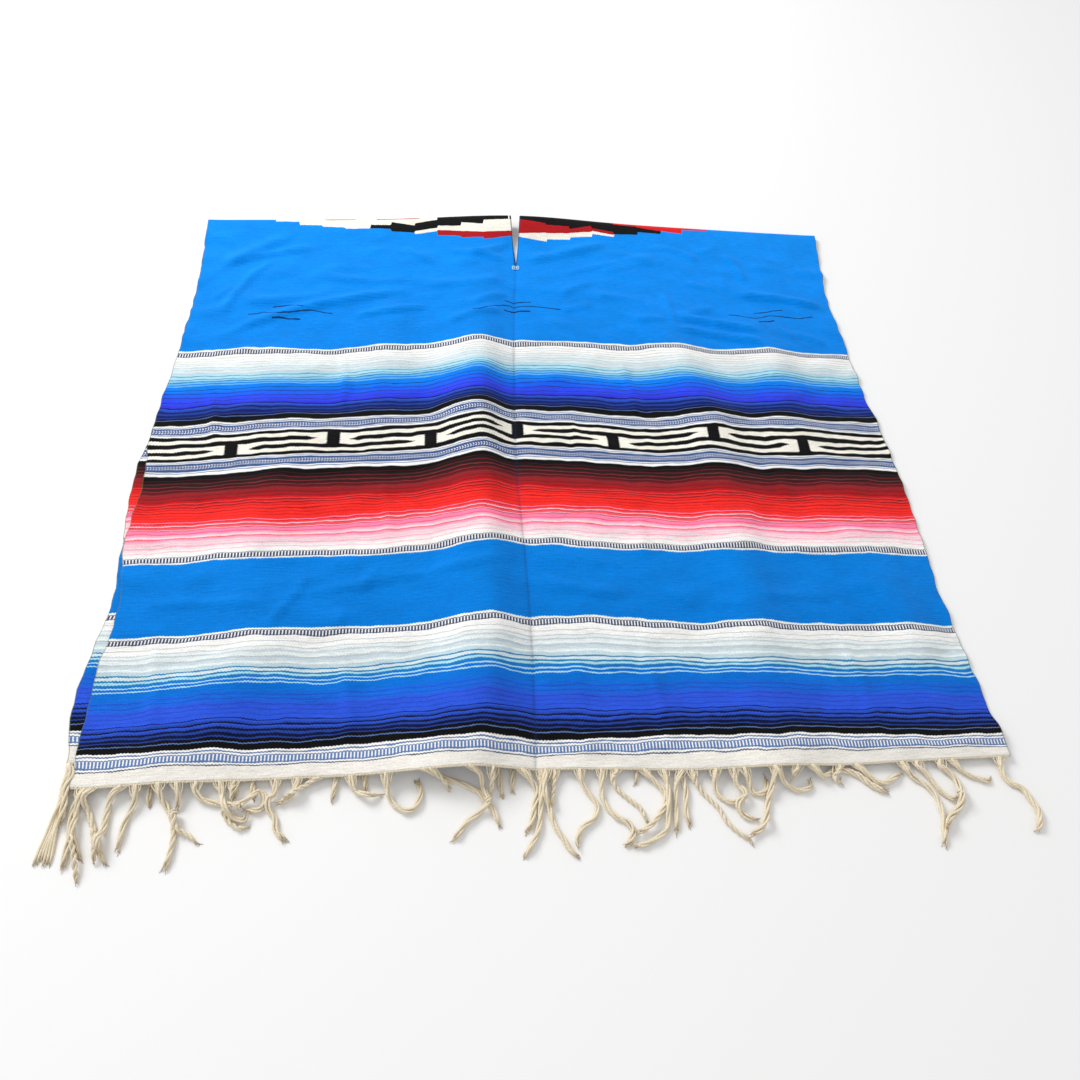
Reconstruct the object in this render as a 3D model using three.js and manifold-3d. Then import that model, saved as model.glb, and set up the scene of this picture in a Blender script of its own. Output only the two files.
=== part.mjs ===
// Serape poncho laid out flat on a floor.
//
// One woven rectangle is folded over at the shoulders, so two layers lie on each other. The
// front layer is on top and carries the rounded shoulder fold, the soft waves of the cloth and
// the storage crease. The back layer lies flat on the floor. A lengthwise slit through the fold
// is the neck opening. Both hems end in a fringe of loose tassels.
//
// Millimetres, +Z up, -Y towards the hems, +X to the wearer's left as it lies face up.
// "along" is the distance along the cloth from the shoulder fold, "across" the distance from
// the middle of its width, positive to +X.

import * as THREE from "three";
import Module from "manifold-3d";

// ---- driving dimensions -------------------------------------------------------------------
const CLOTH_WIDTH = 1200;
const FRONT_LENGTH = 1089;
const BACK_LENGTH = 1058;
const CLOTH_WALL = 2;
const PIECE_GAP = 0.3;

const FOLD_RADIUS_SIDE = 3.5; // of the wall's middle, at the ends of the shoulder fold
const FOLD_RADIUS_RISE = 5.5; // added at the neck
const FOLD_RISE_SPREAD = 170;
const FOLD_SETTLE_LENGTH = 90; // over which the cloth comes down from the fold

const SLIT_WIDTH = 17;
const SLIT_FRONT_LENGTH = 135;
const SLIT_BACK_LENGTH = 155;

const EDGE_PULL_POWER = 4; // how fast a side edge's wander dies out towards the middle
const PUFF_HEIGHT = 1.5; // air between the layers
const PUFF_EDGE_WIDTH = 90;
const VALLEY_WIDTH = 9; // of the pressed crease line beside its hump
const VALLEY_DEPTH = 0.9;
const HEM_LIFT = 4.2; // the front hem lies on the back fringe
const HEM_LIFT_START = 1004;
const HEM_LIFT_LENGTH = 36;

const FRINGE_STRIP_DEPTH = 4;
const FRINGE_STRIP_WALL = 1.6;
const TASSEL_ROOT_DEPTH = 1.2; // of a strand in its strip
const TASSEL_RADIUS = 2.3;
const TASSEL_SIDES = 4;
const TASSEL_STEPS = 9;
const TASSEL_CLEARANCE = 0.5; // under the lowest strand
const TASSEL_FALL_LENGTH = 34; // over which a strand comes down from its hem
const TASSEL_TIP_SCALE = 0.75;

// ---- tables: a row for each section across the cloth ------------------------------------------
// How far each side edge wanders from the straight line, positive to +X.
const EDGE_SECTIONS = [
  { along: 0, frontLeft: 0, frontRight: 8, backLeft: 0, backRight: 8 },
  { along: 190, frontLeft: 9, frontRight: -14, backLeft: 6, backRight: -16 },
  { along: 300, frontLeft: 4, frontRight: -12, backLeft: 2, backRight: -14 },
  { along: 410, frontLeft: -3, frontRight: -12, backLeft: -2, backRight: -15 },
  { along: 515, frontLeft: -10, frontRight: -5, backLeft: -9, backRight: -12 },
  { along: 610, frontLeft: -4, frontRight: -2, backLeft: -20, backRight: -14 },
  { along: 730, frontLeft: -9, frontRight: -4, backLeft: -14, backRight: -20 },
  { along: 835, frontLeft: 4, frontRight: -8, backLeft: -8, backRight: -22 },
  { along: 930, frontLeft: -4, frontRight: -3, backLeft: -21, backRight: -24 },
  { along: 1000, frontLeft: -4, frontRight: 1, backLeft: -24, backRight: -24 },
  { along: 1058, frontLeft: -2, frontRight: 4, backLeft: -14, backRight: -20 },
  { along: 1089, frontLeft: 0, frontRight: 5, backLeft: -14, backRight: -20 },
];

// How far the weft is drawn towards the fold, at five places across.
const WEFT_BOW_SECTIONS = [
  { along: 0, left: 3, midLeft: 16, middle: 28, midRight: 22, right: 5 },
  { along: 330, left: -14, midLeft: -5, middle: 20, midRight: 10, right: -4 },
  { along: 550, left: -18, midLeft: -4, middle: 18, midRight: 1, right: -6 },
  { along: 760, left: -11, midLeft: -3, middle: 15, midRight: -2, right: -12 },
  { along: 880, left: -8, midLeft: 0, middle: 13, midRight: -1, right: -14 },
  { along: 1050, left: -5, midLeft: -1, middle: -2, midRight: -7, right: -16 },
  { along: 1089, left: -3, midLeft: 0, middle: -1, midRight: -10, right: -6 },
];
const WEFT_BOW_PLACES = { left: -580, midLeft: -325, middle: -20, midRight: 230, right: 580 };

// The storage crease: where its pressed line runs, and the hump that stands to its left.
const CREASE_SECTIONS = [
  { along: 0, line: -10, peak: -80, rise: 4, left: 80, right: 40 },
  { along: 130, line: -15, peak: -80, rise: 7, left: 80, right: 40 },
  { along: 300, line: -26, peak: -86, rise: 13, left: 72, right: 38 },
  { along: 430, line: -32, peak: -93, rise: 25, left: 62, right: 37 },
  { along: 540, line: -36, peak: -95, rise: 28, left: 60, right: 36 },
  { along: 640, line: -37, peak: -92, rise: 22, left: 60, right: 35 },
  { along: 760, line: -33, peak: -91, rise: 18, left: 60, right: 37 },
  { along: 880, line: -31, peak: -92, rise: 21, left: 66, right: 38 },
  { along: 1000, line: -33, peak: -104, rise: 27, left: 84, right: 44 },
  { along: 1089, line: -37, peak: -118, rise: 25, left: 100, right: 50 },
];

// The long soft waves that run from the shoulders towards the hem.
const LONG_WAVES = [
  [
    { along: 200, across: 240, rise: 0, spread: 50 },
    { along: 333, across: 257, rise: 12, spread: 52 },
    { along: 500, across: 292, rise: 19, spread: 56 },
    { along: 620, across: 284, rise: 16, spread: 54 },
    { along: 764, across: 297, rise: 11, spread: 44 },
    { along: 883, across: 296, rise: 12, spread: 44 },
    { along: 980, across: 280, rise: 9, spread: 60 },
    { along: 1089, across: 270, rise: 11, spread: 66 },
  ],
  [
    { along: 280, across: -410, rise: 0, spread: 60 },
    { along: 440, across: -430, rise: 9, spread: 70 },
    { along: 573, across: -395, rise: 10, spread: 70 },
    { along: 764, across: -440, rise: 8, spread: 52 },
    { along: 883, across: -400, rise: 11, spread: 60 },
    { along: 1040, across: -480, rise: 9, spread: 60 },
    { along: 1089, across: -490, rise: 7, spread: 60 },
  ],
  [
    { along: 210, across: 425, rise: 0, spread: 44 },
    { along: 333, across: 440, rise: 11, spread: 44 },
    { along: 500, across: 436, rise: 11, spread: 52 },
    { along: 640, across: 450, rise: 5, spread: 60 },
    { along: 780, across: 500, rise: 5, spread: 50 },
    { along: 883, across: 526, rise: 9, spread: 40 },
    { along: 1010, across: 520, rise: 0, spread: 40 },
  ],
  [
    { along: 220, across: -250, rise: 0, spread: 44 },
    { along: 333, across: -262, rise: 6, spread: 44 },
    { along: 500, across: -250, rise: 6, spread: 50 },
    { along: 650, across: -270, rise: 0, spread: 50 },
  ],
];

// ---- tables: a row for each tassel ----------------------------------------------------------
// root: place across the hem. length: along the tassel. The four headings are in degrees, at
// its root, a third, two thirds and the tip: 0 is straight away from the hem, positive to +X.
const FRONT_TASSELS = [
  { root: -587, length: 98, heading: [-20, 0, 0, 0] },
  { root: -576, length: 92, heading: [-5, 5, 15, 30] },
  { root: -562, length: 100, heading: [0, 20, 25, 40] },
  { root: -538, length: 90, heading: [-38, -8, -8, 15] },
  { root: -520, length: 80, heading: [-2, -17, -5, -8] },
  { root: -488, length: 118, heading: [-45, 35, 3, -14] },
  { root: -452, length: 120, heading: [-10, 70, 90, 20] },
  { root: -426, length: 74, heading: [15, 20, 40, 95] },
  { root: -359, length: 88, heading: [-3, -2, 20, 74] },
  { root: -308, length: 60, heading: [-70, -60, -58, -40] },
  { root: -225, length: 92, heading: [6, 30, 105, 160] },
  { root: -180, length: 130, heading: [80, 70, 36, 18] },
  { root: -122, length: 108, heading: [52, 19, -40, -36] },
  { root: -56, length: 92, heading: [33, 22, -13, -32] },
  { root: -28, length: 112, heading: [-4, -7, -21, -40] },
  { root: -8, length: 120, heading: [0, 14, 30, 46] },
  { root: 20, length: 110, heading: [6, 28, -50, -12] },
  { root: 47, length: 100, heading: [-6, 24, 36, 10] },
  { root: 68, length: 84, heading: [-40, 38, 40, 42] },
  { root: 101, length: 84, heading: [50, 14, -30, -50] },
  { root: 128, length: 120, heading: [10, -7, -48, -80] },
  { root: 165, length: 122, heading: [11, 37, 38, 28] },
  { root: 196, length: 60, heading: [-10, 10, 60, 90] },
  { root: 222, length: 70, heading: [20, 10, 40, 80] },
  { root: 274, length: 106, heading: [-18, -24, -33, -60] },
  { root: 296, length: 72, heading: [24, 50, 100, 160] },
  { root: 336, length: 82, heading: [80, 90, 55, 80] },
  { root: 386, length: 62, heading: [55, 52, 95, 120] },
  { root: 447, length: 126, heading: [35, 44, -6, -18] },
  { root: 478, length: 70, heading: [40, 32, 30, 0] },
  { root: 506, length: 72, heading: [52, 10, -10, -20] },
  { root: 540, length: 58, heading: [55, 56, 70, 110] },
  { root: 588, length: 116, heading: [7, 52, 9, -36] },
];
const BACK_TASSELS = [
  { root: -597, length: 128, heading: [2, 0, -4, -4] },
  { root: -508, length: 62, heading: [0, 0, -2, -6] },
  { root: -408, length: 60, heading: [-6, -4, 4, 10] },
  { root: -385, length: 60, heading: [4, 2, -4, -10] },
  { root: -290, length: 66, heading: [6, 12, 24, 34] },
  { root: -250, length: 58, heading: [-6, -4, 2, 6] },
  { root: -82, length: 66, heading: [-2, -2, -4, -6] },
  { root: -68, length: 60, heading: [4, 2, 0, -4] },
  { root: 92, length: 56, heading: [-8, -4, 4, 8] },
  { root: 148, length: 112, heading: [4, -4, -2, -8] },
  { root: 285, length: 60, heading: [0, -4, -4, 0] },
];

// ---- mesh density -------------------------------------------------------------------------
const FOLD_ROWS = 6;
const SLIT_ROWS = 6; // from the top of the fold to the foot of the slit
const FRONT_ROWS = 29; // from the foot of the slit to the hem
const FRONT_HALF_COLUMNS = 23;
const COLUMN_CROWDING = 1.35; // above 1 draws the columns towards the crease line
const BACK_SLIT_ROWS = 3;
const BACK_ROWS = 22;
const BACK_HALF_COLUMNS = 3;
const STRIP_STEPS = 48;

// ---- smooth values from the tables ----------------------------------------------------------
const smooth = (t) => {
  const c = THREE.MathUtils.clamp(t, 0, 1);
  return c * c * (3 - 2 * c);
};

const bell = (distance, spread) => Math.exp(-((distance / spread) ** 2));

// One column of a section table at any place: a cubic through its rows, with each row's slope
// taken from its two neighbours, and held level past the table's ends.
function valueAt(sections, column, along) {
  const last = sections.length - 1;
  if (along <= sections[0].along) return sections[0][column];
  if (along >= sections[last].along) return sections[last][column];
  let row = 0;
  while (along > sections[row + 1].along) row += 1;
  const slopeAt = (index) => {
    const before = sections[Math.max(index - 1, 0)];
    const after = sections[Math.min(index + 1, last)];
    return (after[column] - before[column]) / (after.along - before.along);
  };
  const [start, end] = [sections[row], sections[row + 1]];
  const span = end.along - start.along;
  const t = (along - start.along) / span;
  const startValue = start[column] * (1 + 2 * t) * (1 - t) ** 2;
  const endValue = end[column] * (3 - 2 * t) * t ** 2;
  const startSlope = slopeAt(row) * span * t * (1 - t) ** 2;
  const endSlope = slopeAt(row + 1) * span * (t - 1) * t ** 2;
  return startValue + endValue + startSlope + endSlope;
}

const creaseLine = (along) => valueAt(CREASE_SECTIONS, "line", along);

function weftBow(across, along) {
  const places = Object.entries(WEFT_BOW_PLACES).map(([name, place]) => ({
    along: place,
    bow: valueAt(WEFT_BOW_SECTIONS, name, along),
  }));
  return valueAt(places, "bow", across);
}

// Half the width of the neck slit, a narrow V to each side of the fold.
function slitHalfWidth(along) {
  const length = along >= 0 ? SLIT_FRONT_LENGTH : SLIT_BACK_LENGTH;
  return (SLIT_WIDTH / 2) * Math.max(0, 1 - Math.abs(along) / length);
}

// The side edges' wander, carried into the cloth by a power of the distance from its middle.
function edgePull(across, along, leftColumn, rightColumn) {
  const share = Math.abs(across) / (CLOTH_WIDTH / 2);
  const column = across < 0 ? leftColumn : rightColumn;
  return valueAt(EDGE_SECTIONS, column, along) * share ** EDGE_PULL_POWER;
}

// ---- the front layer ------------------------------------------------------------------------
const foldRadius = (across) =>
  FOLD_RADIUS_SIDE + FOLD_RADIUS_RISE * bell(across - creaseLine(0), FOLD_RISE_SPREAD);

// How high the front layer stands above where it would touch the back layer: air, the hump
// beside the crease, the long waves, all pressed down along the crease line, and the hem's lift.
function waveHeight(across, along) {
  const edgeDistance = CLOTH_WIDTH / 2 - Math.abs(across);
  const puff = PUFF_HEIGHT * smooth(edgeDistance / PUFF_EDGE_WIDTH);
  const fromPeak = across - valueAt(CREASE_SECTIONS, "peak", along);
  const side = fromPeak < 0 ? "left" : "right";
  const hump =
    valueAt(CREASE_SECTIONS, "rise", along) *
    bell(fromPeak, valueAt(CREASE_SECTIONS, side, along));
  let waves = 0;
  for (const wave of LONG_WAVES) {
    const distance = across - valueAt(wave, "across", along);
    waves += valueAt(wave, "rise", along) * bell(distance, valueAt(wave, "spread", along));
  }
  const fromCrease = Math.abs(across - creaseLine(along));
  const pressed = 1 - VALLEY_DEPTH * Math.exp(-fromCrease / VALLEY_WIDTH);
  const lift = HEM_LIFT * smooth((along - HEM_LIFT_START) / HEM_LIFT_LENGTH);
  return (puff + hump + waves) * pressed + lift;
}

// The middle of the front layer's wall. Below along 0 it runs round the shoulder fold, a half
// circle from the floor, where its edge is straight, to the top. Past that it settles onto the
// back layer.
function frontMiddle(across, along) {
  const radius = foldRadius(across);
  const x = across + edgePull(across, Math.max(along, 0), "frontLeft", "frontRight");
  const floorHeight = CLOTH_WALL / 2;
  if (along < 0) {
    const angle = Math.PI / 2 + along / radius;
    const bow = weftBow(across, 0) * (1 + along / (Math.PI * radius));
    const y = bow + radius * Math.cos(angle);
    return new THREE.Vector3(x, y, floorHeight + radius * (1 + Math.sin(angle)));
  }
  const settled = floorHeight + CLOTH_WALL + PIECE_GAP + waveHeight(across, along);
  const foldTop = floorHeight + 2 * radius;
  const share = smooth(along / FOLD_SETTLE_LENGTH);
  const z = foldTop + (settled - foldTop) * share;
  return new THREE.Vector3(x, weftBow(across, along) - along, z);
}

function frontNormal(across, along) {
  const step = 0.5;
  const right = frontMiddle(across + step, along).sub(frontMiddle(across - step, along));
  const down = frontMiddle(across, along + step).sub(frontMiddle(across, along - step));
  return down.cross(right).normalize();
}

// ---- solids from grids and rings --------------------------------------------------------------
function closedGeometry(positions, faces) {
  const geometry = new THREE.BufferGeometry();
  const flat = new Float32Array(positions.flatMap((point) => [point.x, point.y, point.z]));
  geometry.setAttribute("position", new THREE.BufferAttribute(flat, 3));
  geometry.setIndex(faces.flat());
  geometry.computeVertexNormals();
  return geometry;
}

// A wall round a middle surface: its faces moved out to both sides, and closed along every
// free edge.
function wallGeometry(middles, normals, faces) {
  const count = middles.length;
  const moved = (distance) =>
    middles.map((point, index) => point.clone().addScaledVector(normals[index], distance));
  const positions = [...moved(CLOTH_WALL / 2), ...moved(-CLOTH_WALL / 2)];
  const edges = new Set(
    faces.flatMap(([a, b, c]) => [`${a},${b}`, `${b},${c}`, `${c},${a}`]),
  );
  const rim = [...edges]
    .map((edge) => edge.split(",").map(Number))
    .filter(([a, b]) => !edges.has(`${b},${a}`));
  const closed = [
    ...faces,
    ...faces.map(([a, b, c]) => [a + count, c + count, b + count]),
    ...rim.map(([a, b]) => [b, a, a + count]),
    ...rim.map(([a, b]) => [b, a + count, b + count]),
  ];
  return closedGeometry(positions, closed);
}

// The grid of a slit layer: two halves of columns that meet on the crease line, joined into one
// column wherever the slit is closed. place(row, column) gives across and along.
function slitGrid(rows, halfColumns, place) {
  const indexOf = new Map();
  const places = [];
  const vertex = (row, half, column) => {
    const meets = slitHalfWidth(rows[row]) === 0 && column === 0;
    const key = meets ? `${row}` : `${row},${half},${column}`;
    if (!indexOf.has(key)) {
      indexOf.set(key, places.length);
      places.push(place(rows[row], half, column / halfColumns));
    }
    return indexOf.get(key);
  };
  const faces = [];
  for (let row = 0; row + 1 < rows.length; row += 1) {
    for (const half of [-1, 1]) {
      for (let column = 0; column < halfColumns; column += 1) {
        const [left, right] = half < 0 ? [column + 1, column] : [column, column + 1];
        const a = vertex(row, half, left);
        const b = vertex(row + 1, half, left);
        const c = vertex(row + 1, half, right);
        const d = vertex(row, half, right);
        faces.push([a, b, c], [a, c, d]);
      }
    }
  }
  return { places, faces };
}

const between = (start, end, steps) =>
  Array.from({ length: steps }, (_, index) => start + ((end - start) * (index + 1)) / steps);

// The place of a column: its share of the way from the slit's lip to the side edge.
function columnAcross(along, half, share) {
  const lip = creaseLine(Math.max(along, 0)) + half * slitHalfWidth(along);
  return lip + (half * (CLOTH_WIDTH / 2) - lip) * share ** COLUMN_CROWDING;
}

function frontPanelGeometry() {
  // Rows round the fold are held as shares of its half circle, because its radius changes.
  const foldRows = Array.from({ length: FOLD_ROWS }, (_, index) => -1 + index / FOLD_ROWS);
  const rows = [
    ...foldRows,
    0,
    ...between(0, SLIT_FRONT_LENGTH, SLIT_ROWS),
    ...between(SLIT_FRONT_LENGTH, FRONT_LENGTH, FRONT_ROWS),
  ];
  const { places, faces } = slitGrid(rows, FRONT_HALF_COLUMNS, (row, half, share) => {
    const across = columnAcross(row, half, share);
    const along = row < 0 ? row * Math.PI * foldRadius(across) : row;
    return { across, along };
  });
  const middles = places.map(({ across, along }) => frontMiddle(across, along));
  const normals = places.map(({ across, along }) => frontNormal(across, along));
  return wallGeometry(middles, normals, faces);
}

function backMiddle(across, along) {
  const x = across + edgePull(across, along, "backLeft", "backRight");
  return new THREE.Vector3(x, -along, CLOTH_WALL / 2);
}

function backPanelGeometry() {
  // Rows count down from the fold, so the slit's back half is met first.
  const rows = [
    -PIECE_GAP,
    ...between(-PIECE_GAP, -SLIT_BACK_LENGTH, BACK_SLIT_ROWS),
    ...between(-SLIT_BACK_LENGTH, -BACK_LENGTH, BACK_ROWS),
  ];
  const { places, faces } = slitGrid(rows, BACK_HALF_COLUMNS, (row, half, share) => ({
    across: columnAcross(row, half, share),
    along: -row,
  }));
  const middles = places.map(({ across, along }) => backMiddle(across, along));
  const normals = places.map(() => new THREE.Vector3(0, 0, 1));
  return wallGeometry(middles, normals, faces);
}

// A closed tube through rings of equal point counts, each ring turning the same way.
function ringGeometry(rings) {
  const sides = rings[0].length;
  const faces = [];
  for (let ring = 0; ring + 1 < rings.length; ring += 1) {
    for (let side = 0; side < sides; side += 1) {
      const a = ring * sides + side;
      const b = ring * sides + ((side + 1) % sides);
      faces.push([a, b, b + sides], [a, b + sides, a + sides]);
    }
  }
  const end = (rings.length - 1) * sides;
  for (let side = 1; side + 1 < sides; side += 1) {
    faces.push([0, side + 1, side], [end, end + side, end + side + 1]);
  }
  return closedGeometry(rings.flat(), faces);
}

// ---- the fringes --------------------------------------------------------------------------------
// The heading, in degrees, at a share of a tassel's length: straight lines between the four.
function headingAt(heading, share) {
  const place = share * (heading.length - 1);
  const index = Math.min(Math.floor(place), heading.length - 2);
  return heading[index] + (heading[index + 1] - heading[index]) * (place - index);
}

// A tassel: a tapering diamond section carried along its headings, coming down from the hem.
function tasselRings({ length, heading }, root) {
  const floorHeight = TASSEL_RADIUS + TASSEL_CLEARANCE;
  const step = length / TASSEL_STEPS;
  const point = root.clone();
  return Array.from({ length: TASSEL_STEPS + 1 }, (_, index) => {
    const share = index / TASSEL_STEPS;
    if (index > 0) {
      const turn = THREE.MathUtils.degToRad(headingAt(heading, share - 0.5 / TASSEL_STEPS));
      point.x += step * Math.sin(turn);
      point.y -= step * Math.cos(turn);
    }
    const facing = THREE.MathUtils.degToRad(headingAt(heading, share));
    const sideways = new THREE.Vector3(Math.cos(facing), Math.sin(facing), 0);
    const fall = smooth((index * step) / TASSEL_FALL_LENGTH);
    const height = root.z + (floorHeight - root.z) * fall;
    const radius = TASSEL_RADIUS * (1 - (1 - TASSEL_TIP_SCALE) * share);
    return Array.from({ length: TASSEL_SIDES }, (_, side) => {
      const angle = (side * 2 * Math.PI) / TASSEL_SIDES;
      return new THREE.Vector3(point.x, point.y, height)
        .addScaledVector(sideways, radius * Math.cos(angle))
        .add(new THREE.Vector3(0, 0, radius * Math.sin(angle)));
    });
  });
}

// The narrow strip that holds a fringe together, lying just off the hem's edge. hemPoint gives
// the middle of the cloth's edge at a place across.
function stripRings(hemPoint, halfWidth) {
  return [-halfWidth, ...between(-halfWidth, halfWidth, STRIP_STEPS)].map((across) => {
    const edge = hemPoint(across);
    const near = edge.y - PIECE_GAP;
    const far = near - FRINGE_STRIP_DEPTH;
    const [low, high] = [edge.z - FRINGE_STRIP_WALL / 2, edge.z + FRINGE_STRIP_WALL / 2];
    return [
      new THREE.Vector3(edge.x, near, low),
      new THREE.Vector3(edge.x, near, high),
      new THREE.Vector3(edge.x, far, high),
      new THREE.Vector3(edge.x, far, low),
    ];
  });
}

const wasm = await Module();
wasm.setup();

function toManifold(geometry) {
  const mesh = new wasm.Mesh({
    numProp: 3,
    vertProperties: geometry.getAttribute("position").array,
    triVerts: new Uint32Array(geometry.getIndex().array),
  });
  return new wasm.Manifold(mesh);
}

function fromManifold(solid) {
  const { vertProperties, triVerts } = solid.getMesh();
  const geometry = new THREE.BufferGeometry();
  geometry.setAttribute("position", new THREE.BufferAttribute(vertProperties, 3));
  geometry.setIndex(new THREE.BufferAttribute(triVerts, 1));
  geometry.computeVertexNormals();
  return geometry;
}

function fringeGeometry(tassels, hemPoint) {
  const halfWidth = CLOTH_WIDTH / 2 - 1;
  let fringe = toManifold(ringGeometry(stripRings(hemPoint, halfWidth)));
  for (const tassel of tassels) {
    const root = hemPoint(tassel.root);
    root.y -= PIECE_GAP + FRINGE_STRIP_DEPTH - TASSEL_ROOT_DEPTH;
    root.z = Math.max(root.z, TASSEL_RADIUS + TASSEL_CLEARANCE);
    fringe = fringe.add(toManifold(ringGeometry(tasselRings(tassel, root))));
  }
  return fromManifold(fringe);
}

const frontHemPoint = (across) => frontMiddle(across, FRONT_LENGTH);
const backHemPoint = (across) => backMiddle(across, BACK_LENGTH);

// ---- the poncho -----------------------------------------------------------------------------------
const blueCloth = new THREE.MeshStandardMaterial({ color: 0x1485e8, roughness: 0.92, metalness: 0 });
const creamYarn = new THREE.MeshStandardMaterial({ color: 0xe6d7bc, roughness: 0.95, metalness: 0 });

function namedMesh(name, geometry, material) {
  const mesh = new THREE.Mesh(geometry, material);
  mesh.name = name;
  return mesh;
}

const poncho = new THREE.Group();
poncho.name = "poncho";
poncho.add(
  namedMesh("front_panel", frontPanelGeometry(), blueCloth),
  namedMesh("back_panel", backPanelGeometry(), blueCloth),
  namedMesh("fringe_front", fringeGeometry(FRONT_TASSELS, frontHemPoint), creamYarn),
  namedMesh("fringe_back", fringeGeometry(BACK_TASSELS, backHemPoint), creamYarn),
);

// The origin is the middle of the poncho's outline, on the floor.
const extent = new THREE.Box3().setFromObject(poncho);
const middle = extent.getCenter(new THREE.Vector3());
poncho.position.set(-middle.x, -middle.y, -extent.min.z);

export default poncho;
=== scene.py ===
"""A serape poncho laid out flat on a pale floor.

One striped, weft-faced cloth is folded over at the shoulders and slit lengthwise at the neck.
The front layer lies on top, with the rounded shoulder fold, the storage crease, the long soft
waves and the small creases of a cloth that was kept folded. The back layer lies flat under it
and shows along the left edge. Both hems end in twisted cream tassels.

Lengths are millimetres on the cloth until a mesh is made, which is in metres. "along" is the
distance along the cloth from the top of the shoulder fold, "across" the distance from the
middle of its width.
"""

import math

import bpy
import numpy as np
from mathutils import Matrix, Vector


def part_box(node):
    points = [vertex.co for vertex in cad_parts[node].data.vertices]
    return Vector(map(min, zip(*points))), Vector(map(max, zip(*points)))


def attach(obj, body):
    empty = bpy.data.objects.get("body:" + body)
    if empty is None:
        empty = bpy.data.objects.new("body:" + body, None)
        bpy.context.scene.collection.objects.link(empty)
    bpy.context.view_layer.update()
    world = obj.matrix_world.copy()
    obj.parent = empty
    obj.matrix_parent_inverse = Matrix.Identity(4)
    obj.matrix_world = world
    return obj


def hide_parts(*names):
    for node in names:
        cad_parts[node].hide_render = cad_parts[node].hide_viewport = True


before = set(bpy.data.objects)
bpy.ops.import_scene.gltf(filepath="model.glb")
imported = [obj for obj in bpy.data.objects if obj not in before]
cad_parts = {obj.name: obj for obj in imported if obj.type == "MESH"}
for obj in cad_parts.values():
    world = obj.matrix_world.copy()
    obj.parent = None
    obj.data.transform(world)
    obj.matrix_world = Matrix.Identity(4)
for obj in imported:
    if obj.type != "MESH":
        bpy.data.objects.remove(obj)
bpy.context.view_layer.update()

MM = 0.001

# ---- driving dimensions ---------------------------------------------------------------------
CLOTH_WIDTH = 1200
FRONT_LENGTH = 1089
BACK_LENGTH = 1058
CLOTH_WALL = 2
PIECE_GAP = 0.3

FOLD_RADIUS_SIDE = 3.5  # of the wall's middle, at the ends of the shoulder fold
FOLD_RADIUS_RISE = 5.5  # added at the neck
FOLD_RISE_SPREAD = 170
FOLD_SETTLE_LENGTH = 90  # over which the cloth comes down from the fold
FOLD_CORNER_REACH = 8  # of the cloth's right edge at the fold, past half its width

SLIT_WIDTH = 17
SLIT_FRONT_LENGTH = 135
SLIT_BACK_LENGTH = 155
SLIT_TAPER = 0.8  # below 1, the slit's lips bow outwards

EDGE_PULL_POWER = 4  # how fast a side edge's wander dies out towards the middle
SCALLOP_LENGTHS = (97, 61, 34)  # of the waves in a selvedge
SCALLOP_PHASES = {"front": (10.7, 12.9), "back": (9.7, 11.9)}  # at the left and right selvedge
SCALLOP_REACH = 0.6
SCALLOP_DEPTH = 26  # over which they die out
SCALLOP_START = 60  # over which they set in below the fold
PUFF_HEIGHT = 1.5  # air between the layers
PUFF_EDGE_WIDTH = 90
VALLEY_WIDTH = 9  # of the pressed crease line beside its hump
VALLEY_DEPTH = 0.9
HEM_LIFT = 4.2  # the front hem lies on the back fringe
HEM_LIFT_START = 1004
HEM_LIFT_LENGTH = 36

EDGE_ROUNDING = 1.6  # over which the wall thins towards a free edge
EDGE_WALL_SHARE = 0.4  # of the wall that is left at the edge itself

PATTERN_MIRROR = -15  # along, where the weaver turned the pattern round


def table(header, *rows):
    """A table with named columns: each name gives the array of its column."""
    return dict(zip(header.split(), np.array(rows, float).T))


# How far each side edge wanders from the straight line, positive to +X.
EDGE_SECTIONS = table(
    "along front_left front_right back_left back_right",
    (0, 0, 8, 0, 8),
    (190, 9, -14, 6, -16),
    (300, 4, -12, 2, -14),
    (410, -3, -12, -2, -15),
    (515, -10, -5, -9, -12),
    (610, -4, -2, -20, -14),
    (730, -9, -4, -14, -20),
    (835, 4, -8, -8, -22),
    (930, -4, -3, -21, -24),
    (1000, -4, 1, -24, -24),
    (1058, -2, 4, -14, -20),
    (1089, 0, 5, -14, -20),
)

# How far the weft is drawn towards the fold, at five places across.
WEFT_BOW_PLACES = np.array([-580.0, -325.0, -20.0, 230.0, 580.0])
WEFT_BOW_SECTIONS = table(
    "along left mid_left middle mid_right right",
    (0, 3, 16, 28, 22, 5),
    (330, -14, -5, 20, 10, -4),
    (550, -18, -4, 18, 1, -6),
    (760, -11, -3, 15, -2, -12),
    (880, -8, 0, 13, -1, -14),
    (1050, -5, -1, -2, -7, -16),
    (1089, -3, 0, -1, -10, -6),
)

# The storage crease: where its pressed line runs, and the hump that stands to its left.
CREASE_SECTIONS = table(
    "along line peak rise left right",
    (0, -10, -80, 4, 80, 40),
    (130, -15, -80, 7, 80, 40),
    (300, -26, -86, 13, 72, 38),
    (430, -32, -93, 25, 62, 37),
    (540, -36, -95, 28, 60, 36),
    (640, -37, -92, 22, 60, 35),
    (760, -33, -91, 18, 60, 37),
    (880, -31, -92, 21, 66, 38),
    (1000, -33, -104, 27, 84, 44),
    (1089, -37, -118, 25, 100, 50),
)

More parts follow.
